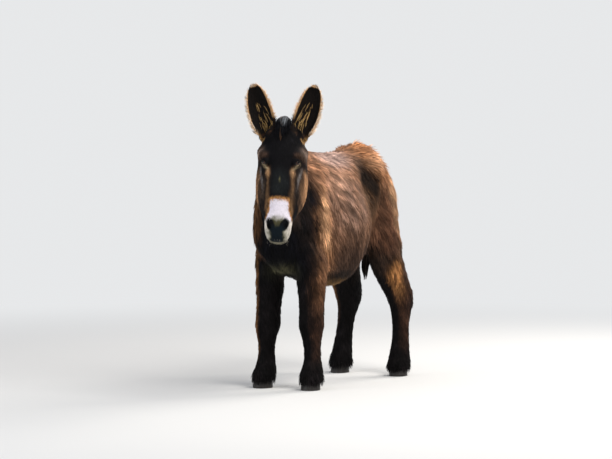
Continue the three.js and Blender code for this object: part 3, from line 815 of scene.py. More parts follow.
# The lie of the coat: a direction along the hide at each root.
def lie(points, normals, part, seed):
    side = points[:, 0] + MIDLINE
    z = points[:, 2]
    draw = np.random.default_rng(seed)
    along = np.empty_like(points)
    along[:, 0] = np.sign(side) * 0.3 * ramp(z, 1.0, 1.25)
    along[:, 1] = 0.40 + 0.60 * ramp(z, 1.05, 1.24) + 0.3 * (1 - ramp(z, 0.55, 0.7))
    along[:, 2] = -1 + 0.6 * ramp(z, 1.05, 1.25)
    breast = 1 - ramp(points[:, 1], -0.33, -0.2)
    along += (np.array([0, 0.12, -1.0]) - along) * breast[:, None]
    rear = ramp(points[:, 1], 0.58, 0.70)
    along += (np.array([0, 0.3, -1.0]) - along) * rear[:, None]
    along += (np.array([0, 0.10, -1.0]) - along) * np.maximum(part["leg"], part["tail"])[:, None]
    local = in_head(points)
    above = ramp(local[:, 2], -0.14, -0.03)
    down_face = np.stack([local[:, 0] * 2, 0.25 - 0.9 * above, -1 + 0 * z], axis=1)
    along += (unit(down_face) @ HEAD_AXES.T - along) * part["head"][:, None]
    for sign in (1, -1):
        share = in_ear(points, sign)[0]
        axis = EAR_FRAMES[sign][1][:, 2] @ HEAD_AXES.T
        along += (axis - along) * share[:, None]
    along = flat_on(along + draw.normal(scale=0.04, size=along.shape), normals)
    turn = 0.26 * drift(points, 0.15, 11) + 0.16 * drift(points, 0.04, 12)
    turn += draw.normal(scale=0.09, size=len(points))
    turn *= 1 - 0.5 * part["head"] - 0.4 * part["ear"]
    sideways = np.cross(normals, along)
    return unit(along * np.cos(turn)[:, None] + sideways * np.sin(turn)[:, None])


# Light and dark streaks that run with the hair, and a random part for each lock. Each lock is
# darker at its root than at its tip: painted shade deep in the coat.
def streaked(tint, points, draw):
    way = unit(np.array([0, 0.5, -0.85]))
    drawn = points - (points @ way)[:, None] * way * 0.86
    shade = 0.42 * drift(drawn, 0.020, 21) + 0.33 * drift(drawn, 0.055, 23)
    shade += 0.10 * drift(points, 0.12, 22)
    shade += draw.normal(scale=0.27, size=len(points))
    shade = np.exp(shade * (1 - 0.6 * ramp(tint.mean(1), 0.35, 0.65)))[:, None]
    return tint * 0.62 * shade, tint * 1.12 * shade


# A coat piece: roots with their length, half width and lift, bent over the hide. Neighbours lean
# their tips together in bunches.
def coat(
    name, points, normals, length, width, lift, plots, seed,
    steps=3, tints=None, flow=None, bunch=0.45, bunch_size=0.018,
):
    draw = np.random.default_rng(seed)
    flow = lie(points, normals, shares(points), seed) if flow is None else flow
    count = len(points)
    length = length * draw.uniform(0.75, 1.2, count)
    lift = lift * draw.uniform(0.6, 1.4, count)
    t = np.linspace(0, 1, steps)[None, :, None]
    rise = np.sin(np.clip(lift, 0, 1.5))[:, None, None]
    across = np.cross(flow, normals)
    sway = (draw.uniform(-1, 1, count) * 0.05)[:, None, None] * np.sin(t * math.pi * 1.5)
    height = 1.35 * t - 0.45 * t * t
    spine = points[:, None] + length[:, None, None] * (
        flow[:, None] * t * np.sqrt(1 - 0.8 * rise**2)
        + normals[:, None] * rise * height
        + across[:, None] * sway
    )
    spine -= normals[:, None] * ROOT_DEPTH
    cells = np.floor((points + 0.3 * bunch_size * draw.normal(size=points.shape)) / bunch_size)
    _, owner, size = np.unique(cells.astype(int), axis=0, return_inverse=True, return_counts=True)
    owner = owner.ravel()
    hub = np.stack([np.bincount(owner, points[:, i]) for i in range(3)], axis=1) / size[:, None]
    inward = hub[owner] - points
    inward = flat_on(inward, normals) * np.linalg.norm(inward, axis=1)[:, None]
    spine += inward[:, None] * bunch * t**1.5
    sag = length * 0.10 * (1 - np.abs(normals[:, 2]))
    spine[:, :, 2] -= sag[:, None] * t[:, :, 0] ** 2
    tilt = draw.normal(scale=0.3, size=count)[:, None]
    flat = unit(across * np.cos(tilt) + normals * np.sin(tilt))
    half_width = (width * draw.uniform(0.7, 1.25, count))[:, None]
    half_width = half_width * taper(steps, [0, 0.3, 0.7, 1], [0.8, 1.0, 0.75, 0.0])
    if tints is None:
        tints = streaked(markings(points, normals), points, draw)
    piece = locks(name, spine, flat, half_width, tints, plots, seed, facing=normals)
    piece.data.materials.append(coat_hair)
    return piece


# A limb or the barrel is unwrapped round its own axis.
def round_axis(first, second):
    return np.arctan2(first, second) / (2 * math.pi) + 0.5


# Values moved and scaled to reach from 0 to 1.
def stretched(values):
    return (values - values.min()) / max(np.ptp(values), 1e-6)


BODY_SPACING, BODY_LOCK = 0.0066, 0.0024  # between roots, and half the width of a lock
points, normals = roots_on(hide, lambda at: BODY_SPACING + 0 * at[:, 0], 5)
part = shares(points)
trunk = (part["head"] < 0.35) & (part["ear"] < 0.3) & (part["leg"] < 0.5) & (part["tail"] < 0.5)
points, normals = points[trunk], normals[trunk]

# The hair is longest in the tan band down the shoulder, and stands up in tufts on the croup.
y, z = points[:, 1], points[:, 2]
band = np.interp(z, [0.66, 0.74, 0.83, 0.93], [-0.095, -0.117, -0.155, -0.160])
mantle = np.exp(-(((y - band) / 0.045) ** 2)) * ramp(z, 0.60, 0.70) * (1 - ramp(z, 1.05, 1.15))
length = 0.048 + 0.006 * ramp(y, 0.3, 0.5) + 0.006 * drift(points, 0.2, 8) + 0.018 * mantle
length -= 0.014 * (1 - ramp(z, 0.55, 0.75)) * ramp(y, 0.3, 0.4)
croup = ramp(y, 0.32, 0.42) * ramp(z, 1.06, 1.16)
loin = ramp(y, 0.12, 0.34) * ramp(z, 1.10, 1.20)
lift = 0.17 + 0.04 * drift(points, 0.12, 9) + 0.10 * loin + 0.06 * mantle
lift += 0.34 * croup * (drift(points, 0.05, 10) > 0.5)
regions = {
    "coat_neck": y < -0.31,
    "coat_shoulders": (y >= -0.31) & (y < -0.12),
    "coat_ribs": (y >= -0.12) & (y < 0.09),
    "coat_loin": (y >= 0.09) & (y < 0.32),
    "coat_croup": (y >= 0.32) & (z > 0.95),
    "coat_thighs": (y >= 0.32) & (z <= 0.95),
}
for seed, (name, here) in enumerate(regions.items()):
    axis_x = np.interp(y[here], [-0.65, -0.35, -0.2], [0.12, -0.03, -MIDLINE])
    turn = round_axis(points[here, 0] - axis_x, 0.9 - z[here])
    plots = np.stack([turn, stretched(z[here] if name == "coat_thighs" else y[here])], axis=1)
    coat(name, points[here], normals[here], length[here], BODY_LOCK, lift[here], plots, 40 + seed)

# ---------------------------------------------------------------- hair of the legs and the tail
# Shorter hair that runs down the shins and lengthens into a feather over the hooves, and the rough
# hair of the dock. The tail ends in a switch of long, coarse hair that grows from its lower half.
points, normals = roots_on(hide, lambda at: 0.0046 + 0.002 * ramp(at[:, 2], 0.3, 0.6), 6)
part = shares(points)
limbs = {}
covered = (part["leg"] >= 0.5) & (normals[:, 2] > -0.75)
for end, near in (("front", points[:, 1] < 0.2), ("hind", points[:, 1] >= 0.2)):
    for name, sign in (("left", 1), ("right", -1)):
        own_side = sign * (points[:, 0] + MIDLINE) > 0
        limbs[f"coat_leg_{end}_{name}"] = covered & near & own_side
limbs["coat_tail"] = part["tail"] >= 0.5
for seed, (name, here) in enumerate(limbs.items()):
    at, facing = points[here], normals[here]
    z = at[:, 2]
    levels = np.linspace(z.min(), z.max(), 14)
    near = [np.abs(z - level) < np.ptp(z) / 12 for level in levels]
    axis_x = np.interp(z, levels, [at[n, 0].mean() for n in near])
    axis_y = np.interp(z, levels, [at[n, 1].mean() for n in near])
    plots = np.stack([round_axis(at[:, 0] - axis_x, axis_y - at[:, 1]), stretched(z)], axis=1)
    feather = 1 - ramp(z, 0.07, 0.15)
    length = 0.023 + 0.022 * feather + 0.014 * ramp(z, 0.38, 0.6)
    width = 0.0018 + 0.0006 * ramp(z, 0.3, 0.6)
    lift = 0.24 + 0.03 * feather + 0.06 * drift(at, 0.05, 14)
    if name == "coat_tail":
        length, lift = 0.035 + 0 * z, 0.3 + 0 * z
    flow = lie(at, facing, shares(at), 50 + seed)

    # Over the hoof the feather hangs straight down.
    hang = (0.85 * (1 - ramp(z, 0.060, 0.088)) * (name != "coat_tail"))[:, None]
    flow = unit(flow * (1 - hang) + (np.array([0, 0.05, -1.0]) + facing * 0.10) * hang)
    lift = lift * (1 - hang[:, 0])
    coat(name, at, facing, length, width, lift, plots, 50 + seed, flow=flow)

# The switch: the line that it hangs along, from the midline and the ground, and its radius there.
TAIL_LINE = np.array([
    (-26, 701, 875), (-48, 701, 790), (-70, 707, 720),
    (-92, 716, 640), (-108, 722, 565), (-118, 730, 500),
]) / 1000
TAIL_RADIUS = np.array([17, 22, 28, 28, 20, 6]) / 1000
LINES_AT = np.array([-MIDLINE, 0.0752, 0])  # where the lines of tail and crest are measured from
TAIL_LINE += LINES_AT


# Points at the shares t of the way along a line.
def along_line(line, t):
    place = np.clip(t, 0, 1) * (len(line) - 1)
    values = [np.interp(place, range(len(line)), column) for column in line.T]
    return np.stack(values, axis=-1)


draw = np.random.default_rng(61)
count, steps = 520, 8
start = draw.uniform(0, 0.55, count) ** 1.2
reach = np.clip(draw.uniform(0.4, 0.62, count), 0, 1.0 - start)
t = start[:, None] + reach[:, None] * np.linspace(0, 1, steps)[None]
round_it = draw.uniform(0, 2 * math.pi, count)
out = np.stack([np.cos(round_it), np.sin(round_it), 0 * round_it], axis=1)
radius = along_line(TAIL_RADIUS[:, None], t)[:, :, 0] * draw.uniform(0.45, 1.0, (count, 1))
spine = along_line(TAIL_LINE, t) + out[:, None] * radius[:, :, None]
spine += out[:, None, [1, 0, 2]] * (0.004 * np.sin(t * 14 + round_it[:, None]))[:, :, None]
across = np.cross(out, [0, 0, 1.0])
shade = np.exp(draw.normal(scale=0.25, size=(count, 1)))
half_width = 0.0022 * draw.uniform(0.6, 1.2, (count, 1))
half_width = half_width * taper(steps, [0, 0.2, 0.8, 1], [0.6, 1.0, 0.7, 0])
plots = np.stack([round_it / (2 * math.pi), stretched(start)], axis=1)
tints = (paint("2b211b") * shade, paint("15110f") * shade)
switch = locks("tail_hair", spine, across, half_width, tints, plots, 62)
coarse_hair = hair_material("coarse_hair", 0.5, 0.7)
switch.data.materials.append(coarse_hair)
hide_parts("tail_switch")

# ---------------------------------------------------------------- hair of the head and the ears
# Very short hair on the face, longer under the jaw. The ears are furred inside with long strands
# and edged with a soft pale fringe, brightened by painted backlight. Mane and forelock are coarse
# and dark, and grow from the crest; the forelock's top carries a painted silver sheen.
HEAD_SPACING = 0.0034
points, normals = roots_on(hide, lambda at: HEAD_SPACING + 0 * at[:, 0], 7)
part = shares(points)
local = in_head(points)
muzzle = ramp(-local[:, 2], 0.36, 0.50)

# The lids, the nostrils and the line of the mouth stay bare.
lid_gap = np.full(len(points), 9.0)
for sign, frame_of_eye in EYE_FRAMES.items():
    from_eye = local - EYE_AT * [sign, 1, 1]
    away = np.linalg.norm(from_eye, axis=1)
    ball = from_eye / away[:, None] @ frame_of_eye.T
    near = (away < EYE + 0.012) & (ball[:, 2] > 0)
    lid_gap = np.where(near, opening(ball), lid_gap)
covered = (part["head"] >= 0.35) & (part["ear"] < 0.4) & (lid_gap > 3.1)
seam = np.abs(local[:, 1] - 0.018 - 0.32 * (0.585 + local[:, 2])) < 0.004
covered &= ~(seam & (-local[:, 2] > 0.515))
hole = ((np.abs(local[:, 0]) - 0.038) / 0.012) ** 2 + ((local[:, 2] + 0.520) / 0.020) ** 2
covered &= ~((hole < 1) & (local[:, 1] < 0))
before = local[:, 1] < 0.035
for name, here, seed in (
    ("coat_face", covered & before, 70),
    ("coat_cheeks", covered & ~before, 75),
):
    at, facing, spot = points[here], normals[here], local[here]
    nose = muzzle[here] * (np.abs(spot[:, 0]) < 0.05) * ramp(-spot[:, 2], 0.49, 0.52)
    length = 0.012 + 0.016 * ramp(spot[:, 1], 0.05, 0.12) + 0.010 * ramp(spot[:, 2], -0.16, -0.05)
    length -= 0.004 * muzzle[here] + 0.003 * nose + 0.005 * (lid_gap[here] < 8)
    beard = ramp(-spot[:, 2], 0.53, 0.57) * ramp(spot[:, 1], 0.02, 0.04)
    length += 0.009 * beard
    width = 0.0009 + 0.0003 * ramp(spot[:, 1], 0.03, 0.10)
    lift = 0.14 + 0.14 * ramp(spot[:, 1], 0.05, 0.12) - 0.04 * nose + 0.2 * beard
    plots = np.stack([round_axis(spot[:, 0], 0.03 - spot[:, 1]), stretched(spot[:, 2])], axis=1)
    coat(name, at, facing, length, width, lift, plots, seed, bunch=0.3, bunch_size=0.012)

# Roots on the outside, the inside and the rim of each ear, with the ear's own axes: out, back, up.
on_ears = {"outside": [], "inside": [], "fringe": []}
for sign in (1, -1):
    share, height, round_it, depth = in_ear(points, sign)
    turn = 0.25 + 0.5 * (sign > 0) + 0.118 * round_it + 0.12 * np.sign(depth)
    spots = np.stack([turn, height], axis=1).clip(0, 1)
    rim = (np.abs(round_it) > 0.88) | (height > 0.955)
    faces_out = depth >= 0
    places_of = {"outside": ~rim & faces_out, "inside": ~rim & ~faces_out, "fringe": rim}
    for name, here in places_of.items():
        picked = np.flatnonzero((share > 0.4) & here)
        axes = HEAD_AXES @ EAR_FRAMES[sign][1]
        axes = np.broadcast_to(axes * [sign, 1, 1], (len(picked), 3, 3))
        on_ears[name].append((picked, spots[picked], height[picked], round_it[picked], axes))
on_ears = {name: [np.concatenate(both) for both in zip(*found)] for name, found in on_ears.items()}

picked, plots, height, round_it, axes = on_ears["outside"]
coat("coat_ears", points[picked], normals[picked], 0.014, 0.0012, 0.22, plots, 71)

# Inside, long fair strands stand in rows up from the root among short black hair.
EAR_DARK, EAR_TAN = paint("15100e"), paint("a48554")
EAR_ROWS = (-0.40, -0.12, 0.16)  # round the ear, where -1 is the inner rim and 1 the outer
picked, plots, height, round_it, axes = on_ears["inside"]
draw = np.random.default_rng(72)
from_row = round_it - 0.09 * drift(points[picked], 0.05, 17)
rows = sum(np.exp(-(((from_row - row) / 0.030) ** 2)) for row in EAR_ROWS)
fair = draw.uniform(size=len(picked)) < 0.32 * rows * (1 - ramp(height, 0.38, 0.70))
fair |= (draw.uniform(size=len(picked)) < 0.06) & (height < 0.26) & (round_it < 0.3)
tan = EAR_TAN * draw.uniform(0.8, 2.2, (len(picked), 1))
dark = np.broadcast_to(EAR_DARK, tan.shape)
tints = (np.where(fair[:, None], tan * 0.5, dark), np.where(fair[:, None], tan, dark * 1.3))
flow = axes[:, :, 2] + axes[:, :, 0] * 0.16 * (0.3 - round_it[:, None])
flow = flat_on(flow + draw.normal(scale=0.06, size=tan.shape), normals[picked])
coat(
    "ear_strands", points[picked], normals[picked], 0.013 + 0.030 * fair, 0.0008,
    0.18 + 0.16 * fair, plots, 73, steps=4, tints=tints, flow=flow, bunch_size=0.012,
)

# The fringe runs all down the outer rim, and down the inner rim as far as the forelock. It stands
# out from the rim, and up at the tip of the ear. Its gold and near-white tips are pale hair
# brightened by painted backlight, most on the outer rim.
EAR_GOLD_BACKLIT, EAR_PALE_BACKLIT = paint("e2ab6c"), paint("fffaf0")
picked, plots, height, round_it, axes = on_ears["fringe"]
outer_rim = (round_it > 0)[:, None]
out = axes[:, :, 0] * np.sign(round_it)[:, None]
up = ramp(height, 0.80, 1.0)[:, None]
flow = unit(out * (1 - up) + axes[:, :, 2] * (0.55 + up) - axes[:, :, 1] * 0.2)
flow = flat_on(flow + draw.normal(scale=0.14, size=flow.shape), normals[picked])
# Painted backlight: tips paler at random, and most on the outer rim.
bright = (draw.uniform(0, 1, (len(picked), 1)) * 0.6 + 0.5 * outer_rim).clip(0, 1)
lifted = height + 0.25 * outer_rim[:, 0] + 0.05 * drift(points[picked], 0.03, 18)
golden = ramp(lifted, 0.36, 0.46)[:, None]
root_tint = EAR_DARK + (EAR_GOLD_BACKLIT * 0.9 - EAR_DARK) * golden
tip_tint = EAR_GOLD_BACKLIT * (1 - bright) + EAR_PALE_BACKLIT * bright
tip_tint = EAR_DARK * 2 + (tip_tint - EAR_DARK * 2) * golden
coat(
    "ear_fringe", points[picked], normals[picked], 0.016 + 0.007 * (1 - height), 0.0009,
    0.30, plots, 74, steps=4, tints=(root_tint, tip_tint), flow=flow, bunch=0.3,
)

# The mane stands up along the crest of the neck between poll and withers, lowest by the withers.
CREST = np.array([
    (0, -170, 1246), (0, -262, 1258), (0, -335, 1264),
    (16, -408, 1276), (54, -470, 1296), (96, -528, 1316),
    (136, -584, 1332), (168, -636, 1334), (192, -680, 1300),
]) / 1000
CREST_DEPTH = 0.018  # how far below the top of the neck the roots lie
CREST += LINES_AT - [0, 0, CREST_DEPTH]
draw = np.random.default_rng(81)
count, steps = 1500, 5
t = draw.uniform(0, 1, count)
root = along_line(CREST, t)
ahead = unit(along_line(CREST, t + 0.02) - along_line(CREST, t - 0.02))
sideways = unit(np.cross(ahead, [0, 0, 1.0]))
offset = draw.normal(scale=0.006, size=(count, 1))
root = root + sideways * offset
stand = np.array([0, 0, 1.0]) - ahead * draw.uniform(0.1, 0.5, (count, 1))
stand = unit(stand + sideways * (offset * 30 + draw.normal(scale=0.12, size=(count, 1))))
tall = (0.014 + 0.046 * ramp(t, -0.02, 0.40) + 0.005 * drift(root, 0.04, 24))[:, None, None]
tall = tall * draw.uniform(0.75, 1.12, (count, 1, 1))
bend = np.linspace(0, 1, steps)[None, :, None]
fallen = sideways[:, None] * (0.12 + offset[:, None] * 12) * bend**2
spine = root[:, None] + tall * (stand[:, None] * bend + fallen)
half_width = 0.0024 * draw.uniform(0.7, 1.2, (count, 1))
half_width = half_width * taper(steps, [0, 0.3, 0.8, 1], [0.8, 1.0, 0.6, 0])
shade = np.exp(draw.normal(scale=0.22, size=(count, 1)))
plots = np.stack([t, 0.5 + offset[:, 0] * 20], axis=1).clip(0, 1)
tints = (paint("17120f") * shade, paint("3d2c20") * shade)
mane = locks("mane_hair", spine, ahead, half_width, tints, plots, 82)
mane.data.materials.append(coarse_hair)
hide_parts("mane")

# The forelock falls forward over the brow from between the ears. These are lines over the middle
# of the skull and over the outside of the lock, back and up in the head's own axes.
SCALP = np.array([(20, 10), (-20, 8), (-58, -14), (-80, -60), (-88, -128)]) / 1000
CREST_OF_LOCK = np.array([(18, 40), (-36, 50), (-80, 22), (-100, -50), (-101, -130)]) / 1000
LOCK_HALF = np.array([20, 33, 35, 30, 16]) / 1000
draw = np.random.default_rng(83)
count, steps = 900, 8
spread = draw.normal(scale=0.5, size=(count, 1)).clip(-1, 1)
start = draw.uniform(0, 0.45, (count, 1)) ** 1.3
reach = np.minimum(draw.uniform(0.35, 0.6, (count, 1)), 1.0 - start)

# The first of them lie over the top as a cap, whose middle strands carry a painted silver sheen.
cap = (np.arange(count) < 260)[:, None]
start = np.where(cap, 0.10 + start * 0.5, start)
t = start + np.where(cap, reach * 0.75, reach) * np.linspace(0, 1, steps)[None]
level = draw.uniform(0.9, 1.04, (count, 1))
level = np.where(cap, level, draw.uniform(0.05, 1.0, (count, 1)) ** 0.6)
grown = ramp(t - start, 0.0, 0.16) * level * np.sqrt(1 - 0.75 * spread**2)
low, top = along_line(SCALP, t), along_line(CREST_OF_LOCK, t)
path = low + (top - low) * grown[:, :, None]
across = spread * along_line(LOCK_HALF[:, None], t)[:, :, 0]
across = across + 0.004 * np.sin(t * 9 + draw.uniform(0, 6, (count, 1)))
spine = out_of_head(np.concatenate([across[:, :, None], path], axis=2))
half_width = 0.0019 * draw.uniform(0.6, 1.2, (count, 1))
half_width = half_width * taper(steps, [0, 0.3, 0.8, 1], [0.8, 1.0, 0.6, 0])
shade = np.exp(draw.normal(scale=0.25, size=(count, 1)))
# Painted sheen: silver on the middle of the cap, at random strength.
painted_sheen_share = cap * (1 - ramp(np.abs(spread), 0.3, 0.9)) * draw.uniform(0.0, 1.0, (count, 1)) ** 1.5
black, painted_sheen_silver = paint("0b0b10"), paint("a9aeb4")
fair = (np.abs(spread + 0.25) < 0.03).astype(float)
tints = [black * shade + (painted_sheen_silver - black) * painted_sheen_share * much for much in (0.8, 0.7)]
tints = [tone + (paint("80614a") - tone) * fair for tone in tints]
plots = np.stack([stretched(spread[:, 0]), stretched(start[:, 0])], axis=1)
forelock = locks("forelock_hair", spine, HEAD_AXES[:, 0], half_width, tints, plots, 84)
forelock.data.materials.append(coarse_hair)
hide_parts("forelock")

# Lashes along the upper lids, and pale whiskers about the lips and chin.
LASHES, WHISKERS = 34, 60  # on each lid, and in all
draw = np.random.default_rng(85)
roots, ways, longs = [], [], []
for side in (1, -1):
    slope, rise, gaze = EYE_FRAMES[side]
    for place in np.linspace(-0.50, 0.62, LASHES):
        lifted = -0.08 + (0.40 - 0.14 * place**2) * math.sqrt(1 - (place / 0.74) ** 2)
        forward = math.sqrt(max(1 - place**2 - lifted**2, 0))
        ball = place * slope + lifted * rise + forward * gaze
        roots.append(ball * (EYE + 0.003) + EYE_AT * [side, 1, 1])
        ways.append(unit(gaze * 0.9 + slope * place * 0.5 - rise * draw.uniform(0.25, 0.6)))
        longs.append(draw.uniform(0.011, 0.017))
for place in draw.uniform(-1, 1, (WHISKERS, 2)):
    turn = 2.2 * place[0]
    out, ahead = math.sin(turn), -math.cos(turn)
    roots.append([0.046 * out, 0.020 + 0.050 * ahead, -0.568 + 0.024 * place[1]])
    ways.append(unit(np.array([0.7 * out, 0.5 * ahead, -0.9]) + draw.normal(scale=0.3, size=3)))
    longs.append(draw.uniform(0.007, 0.014))
roots, ways, longs = np.array(roots), np.array(ways), np.array(longs)
t = np.linspace(0, 1, 4)[None, :, None]
spine = roots[:, None] + ways[:, None] * longs[:, None, None] * t
spine = out_of_head(spine) - [0, 0, 0.004] * t**2
order = np.arange(len(roots))
lash = (order < 2 * LASHES)[:, None]
tone = np.where(lash, paint("0a090a"), paint("9a9388"))
half_width = np.where(lash, 0.0006, 0.0003) * np.array([1, 0.9, 0.6, 0])
plots = np.stack([stretched(order % LASHES), stretched(order)], axis=1)
whiskers = locks(
    "lashes_and_whiskers", spine, HEAD_AXES[:, 0], half_width, (tone, tone), plots, 86
)
whiskers.data.materials.append(coarse_hair)

# ---------------------------------------------------------------- eyes
# Two glass-smooth balls set in the sockets behind the lids. Each is dark brown, with a wide pupil
# that lies level, and bulges a little at the clear wet cornea.
CORNEA = 0.0012  # how far it bulges


# A colour that changes from one stop to another, each a value and its colour.
def colour_between(nodes, links, value, first, second):
    fade = nodes.new("ShaderNodeValToRGB")
    for stop, (at, code) in zip(fade.color_ramp.elements, (first, second)):
        stop.position = at
        stop.color = (*paint(code), 1)
    links.new(value, fade.inputs["Fac"])
    return fade.outputs["Color"]


def eye_material():
    material, nodes, links, shader = new_material(
        "eye", 0.2, Coat_Weight=0.35, Coat_Roughness=0.04, Specular_IOR_Level=0.3
    )
    place = nodes.new("ShaderNodeUVMap")
    place.uv_map = "Gaze"
    apart = nodes.new("ShaderNodeSeparateXYZ")
    links.new(place.outputs["UV"], apart.inputs[0])
    from_gaze = [
        math_node(nodes, links, "MULTIPLY_ADD", apart.outputs[axis], 2.0, -1.0) for axis in "XY"
    ]

    # The square of the distance from the gaze, as shares of a width and a height.
    def oval(wide, tall):
        squares = []
        for value, reach in zip(from_gaze, (wide, tall)):
            share = math_node(nodes, links, "DIVIDE", value, reach)
            squares.append(math_node(nodes, links, "MULTIPLY", share, share))
        return math_node(nodes, links, "ADD", *squares)

    iris = colour_between(nodes, links, oval(0.9, 0.9), (0.42, "3a2114"), (0.58, "120b08"))
    beyond = colour_between(nodes, links, oval(0.50, 0.26), (0.45, "000000"), (0.60, "ffffff"))
    mixed = nodes.new("ShaderNodeMix")
    mixed.data_type = "RGBA"
    links.new(beyond, mixed.inputs["Factor"])
    mixed.inputs["A"].default_value = (0.002, 0.002, 0.003, 1)
    links.new(iris, mixed.inputs["B"])
    links.new(mixed.outputs["Result"], shader.inputs["Base Color"])
    return material


eye_look = eye_material()
for name, sign in (("left", 1), ("right", -1)):
    bpy.ops.mesh.primitive_uv_sphere_add(segments=48, ring_count=28, radius=EYE)
    ball = bpy.context.object
    ball.name = f"eyeball_{name}"
    slope, rise, gaze = EYE_FRAMES[sign]
    local = places(ball)
    forward = unit(local) @ gaze
    local += gaze * (CORNEA * ramp(forward, 0.80, 0.97))[:, None]
    put(ball, local @ HEAD_AXES.T + np.array(middle("eye_" + name)))
    bpy.ops.object.shade_smooth()
    spots = np.stack([local @ slope, local @ rise], axis=1) / EYE / 2 + 0.5
    corners = np.empty(len(ball.data.loops), np.int32)
    ball.data.loops.foreach_get("vertex_index", corners)
    for layer in list(ball.data.uv_layers):
        ball.data.uv_layers.remove(layer)
    gaze_map = ball.data.uv_layers.new(name="Gaze")
    gaze_map.data.foreach_set("uv", spots[corners].astype(np.float32).ravel())
    ball.data.materials.append(eye_look)
    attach(ball, "root")
    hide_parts("eye_" + name)

# ---------------------------------------------------------------- hooves
# Four upright, narrow hooves of dark horn that grow from the feet, with faint growth rings round
# the wall and a flat sole on the ground.
HOOF_GRAIN = 0.003  # size of the voxels that round off the solids' facets
SOLE = 0.0025  # below this the wall is levelled to the ground
RING_PITCH, RING_HEIGHT = 0.0075, 0.0005
SWELL = 0.0008  # makes up for what the rounding takes off the wall


def hoof_material():
    material, nodes, links, shader = new_material("horn", 0.5, Specular_IOR_Level=0.4)
    where = nodes.new("ShaderNodeTexCoord")
    rings_and_fibres = [
        drawn_noise(nodes, links, where.outputs["Object"], scale, 3)
        for scale in ((30, 30, 420), (260, 260, 14))
    ]
    both = math_node(nodes, links, "ADD", *rings_and_fibres)
    half = math_node(nodes, links, "MULTIPLY", both, 0.5)
    tone = colour_between(nodes, links, half, (0.35, "141110"), (0.75, "2e2823"))
    links.new(tone, shader.inputs["Base Color"])
    relief(nodes, links, shader, both, 0.5, 0.0015)
    return material


horn = hoof_material()
for end in ("front", "hind"):
    for name in ("left", "right"):
        node = f"hoof_{end}_{name}"
        hoof = copy_of(node)
        hoof.name = f"horn_{end}_{name}"
        hoof.data.materials.clear()
        finished(hoof, "REMESH", mode="VOXEL", voxel_size=HOOF_GRAIN)
        finished(hoof, "SMOOTH", factor=0.5, iterations=5)
        wall = places(hoof)
        facing = outward(hoof)
        level = wall[:, 2]
        turn = level * 2 * math.pi / RING_PITCH + 1.5 * drift(wall, 0.03, 31)
        rings = RING_HEIGHT * np.sin(turn) * ramp(level, 0.004, 0.012)
        wall += facing * [1, 1, 0] * (rings + SWELL)[:, None]
        wall[:, 2] = np.where(level < SOLE, 0.0, level)
        put(hoof, wall)
        alone(hoof)
        bpy.ops.object.shade_smooth()
        hoof.data.materials.append(horn)
        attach(hoof, "root")
        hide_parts(node)

# ---------------------------------------------------------------- floor, lamps and camera
# A plain, matt, pale floor that runs out into a pale backdrop, under three soft studio lamps and
# an even sky.
BACKDROP = (0.80, 0.81, 0.82, 1)
FLOOR_TONE = (0.74, 0.74, 0.735, 1)
PLAIN_FROM, PLAIN_AT = 1.6, 6.0  # how far out the floor starts and ends turning into the backdrop
bpy.ops.mesh.primitive_plane_add(size=120)
floor = bpy.context.object
floor.name = "floor"
ground, nodes, links, shader = new_material("floor", 0.9)
shader.inputs["Base Color"].default_value = FLOOR_TONE
where = nodes.new("ShaderNodeTexCoord")
distance = nodes.new("ShaderNodeVectorMath")
distance.operation = "LENGTH"
links.new(where.outputs["Object"], distance.inputs[0])
far = nodes.new("ShaderNodeMapRange")
far.interpolation_type = "SMOOTHSTEP"
far.inputs["From Min"].default_value = PLAIN_FROM
far.inputs["From Max"].default_value = PLAIN_AT
links.new(distance.outputs["Value"], far.inputs["Value"])
seen = nodes.new("ShaderNodeLightPath")
plain = nodes.new("ShaderNodeEmission")
plain.inputs["Color"].default_value = BACKDROP
share = math_node(nodes, links, "MULTIPLY", far.outputs["Result"], seen.outputs["Is Camera Ray"])
mixed = nodes.new("ShaderNodeMixShader")
links.new(share, mixed.inputs["Fac"])
links.new(shader.outputs["BSDF"], mixed.inputs[1])
links.new(plain.outputs["Emission"], mixed.inputs[2])
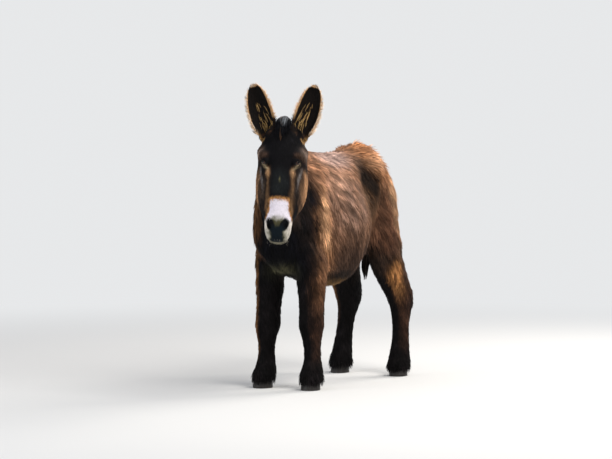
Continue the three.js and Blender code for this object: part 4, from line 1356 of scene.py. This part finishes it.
links.new(mixed.outputs["Shader"], nodes["Material Output"].inputs["Surface"])
floor.data.materials.append(ground)

world = bpy.data.worlds.new("studio")
bpy.context.scene.world = world
world.use_nodes = True
nodes, links = world.node_tree.nodes, world.node_tree.links
sky = nodes["Background"]
sky.inputs["Color"].default_value = (0.93, 0.95, 1.0, 1)
sky.inputs["Strength"].default_value = 0.50
backdrop = nodes.new("ShaderNodeBackground")
backdrop.inputs["Color"].default_value = BACKDROP
seen = nodes.new("ShaderNodeLightPath")
mixed = nodes.new("ShaderNodeMixShader")
links.new(seen.outputs["Is Camera Ray"], mixed.inputs["Fac"])
links.new(sky.outputs["Background"], mixed.inputs[1])
links.new(backdrop.outputs["Background"], mixed.inputs[2])
links.new(mixed.outputs["Shader"], nodes["World Output"].inputs["Surface"])


def lamp(name, at, size, power, tone):
    bpy.ops.object.light_add(type="AREA", location=at)
    light = bpy.context.object
    light.name = name
    light.data.size = size
    light.data.energy = power
    light.data.color = tone
    aim = Vector((0, 0, 0.8)) - Vector(at)
    light.rotation_euler = aim.to_track_quat("-Z", "Y").to_euler()


lamp("key", (3.2, -1.2, 4.2), 2.5, 188, (1.0, 0.96, 0.90))
lamp("fill", (-2.5, -4.5, 2.2), 3.5, 75, (0.92, 0.96, 1.0))
lamp("rim", (1.5, 4.0, 3.6), 2.5, 190, (1.0, 0.95, 0.88))

# The camera stands ahead and to the left of the donkey, with a long lens.
CAMERA_AWAY, CAMERA_HEIGHT, BEARING = 13.5, 1.45, math.radians(30)
target = Vector((*LINES_AT[:2], 0.8))
place = target + CAMERA_AWAY * Vector((math.sin(BEARING), -math.cos(BEARING), 0))
bpy.ops.object.camera_add(location=(place.x, place.y, CAMERA_HEIGHT))
camera = bpy.context.object
camera.name = "camera"
camera.rotation_euler = (target - camera.location).to_track_quat("-Z", "Y").to_euler()
camera.data.sensor_width = 36
camera.data.lens = 151.2
camera.data.shift_x = -0.018
camera.data.shift_y = 0.004
bpy.context.scene.camera = camera
bpy.context.scene.view_settings.view_transform = "Standard"
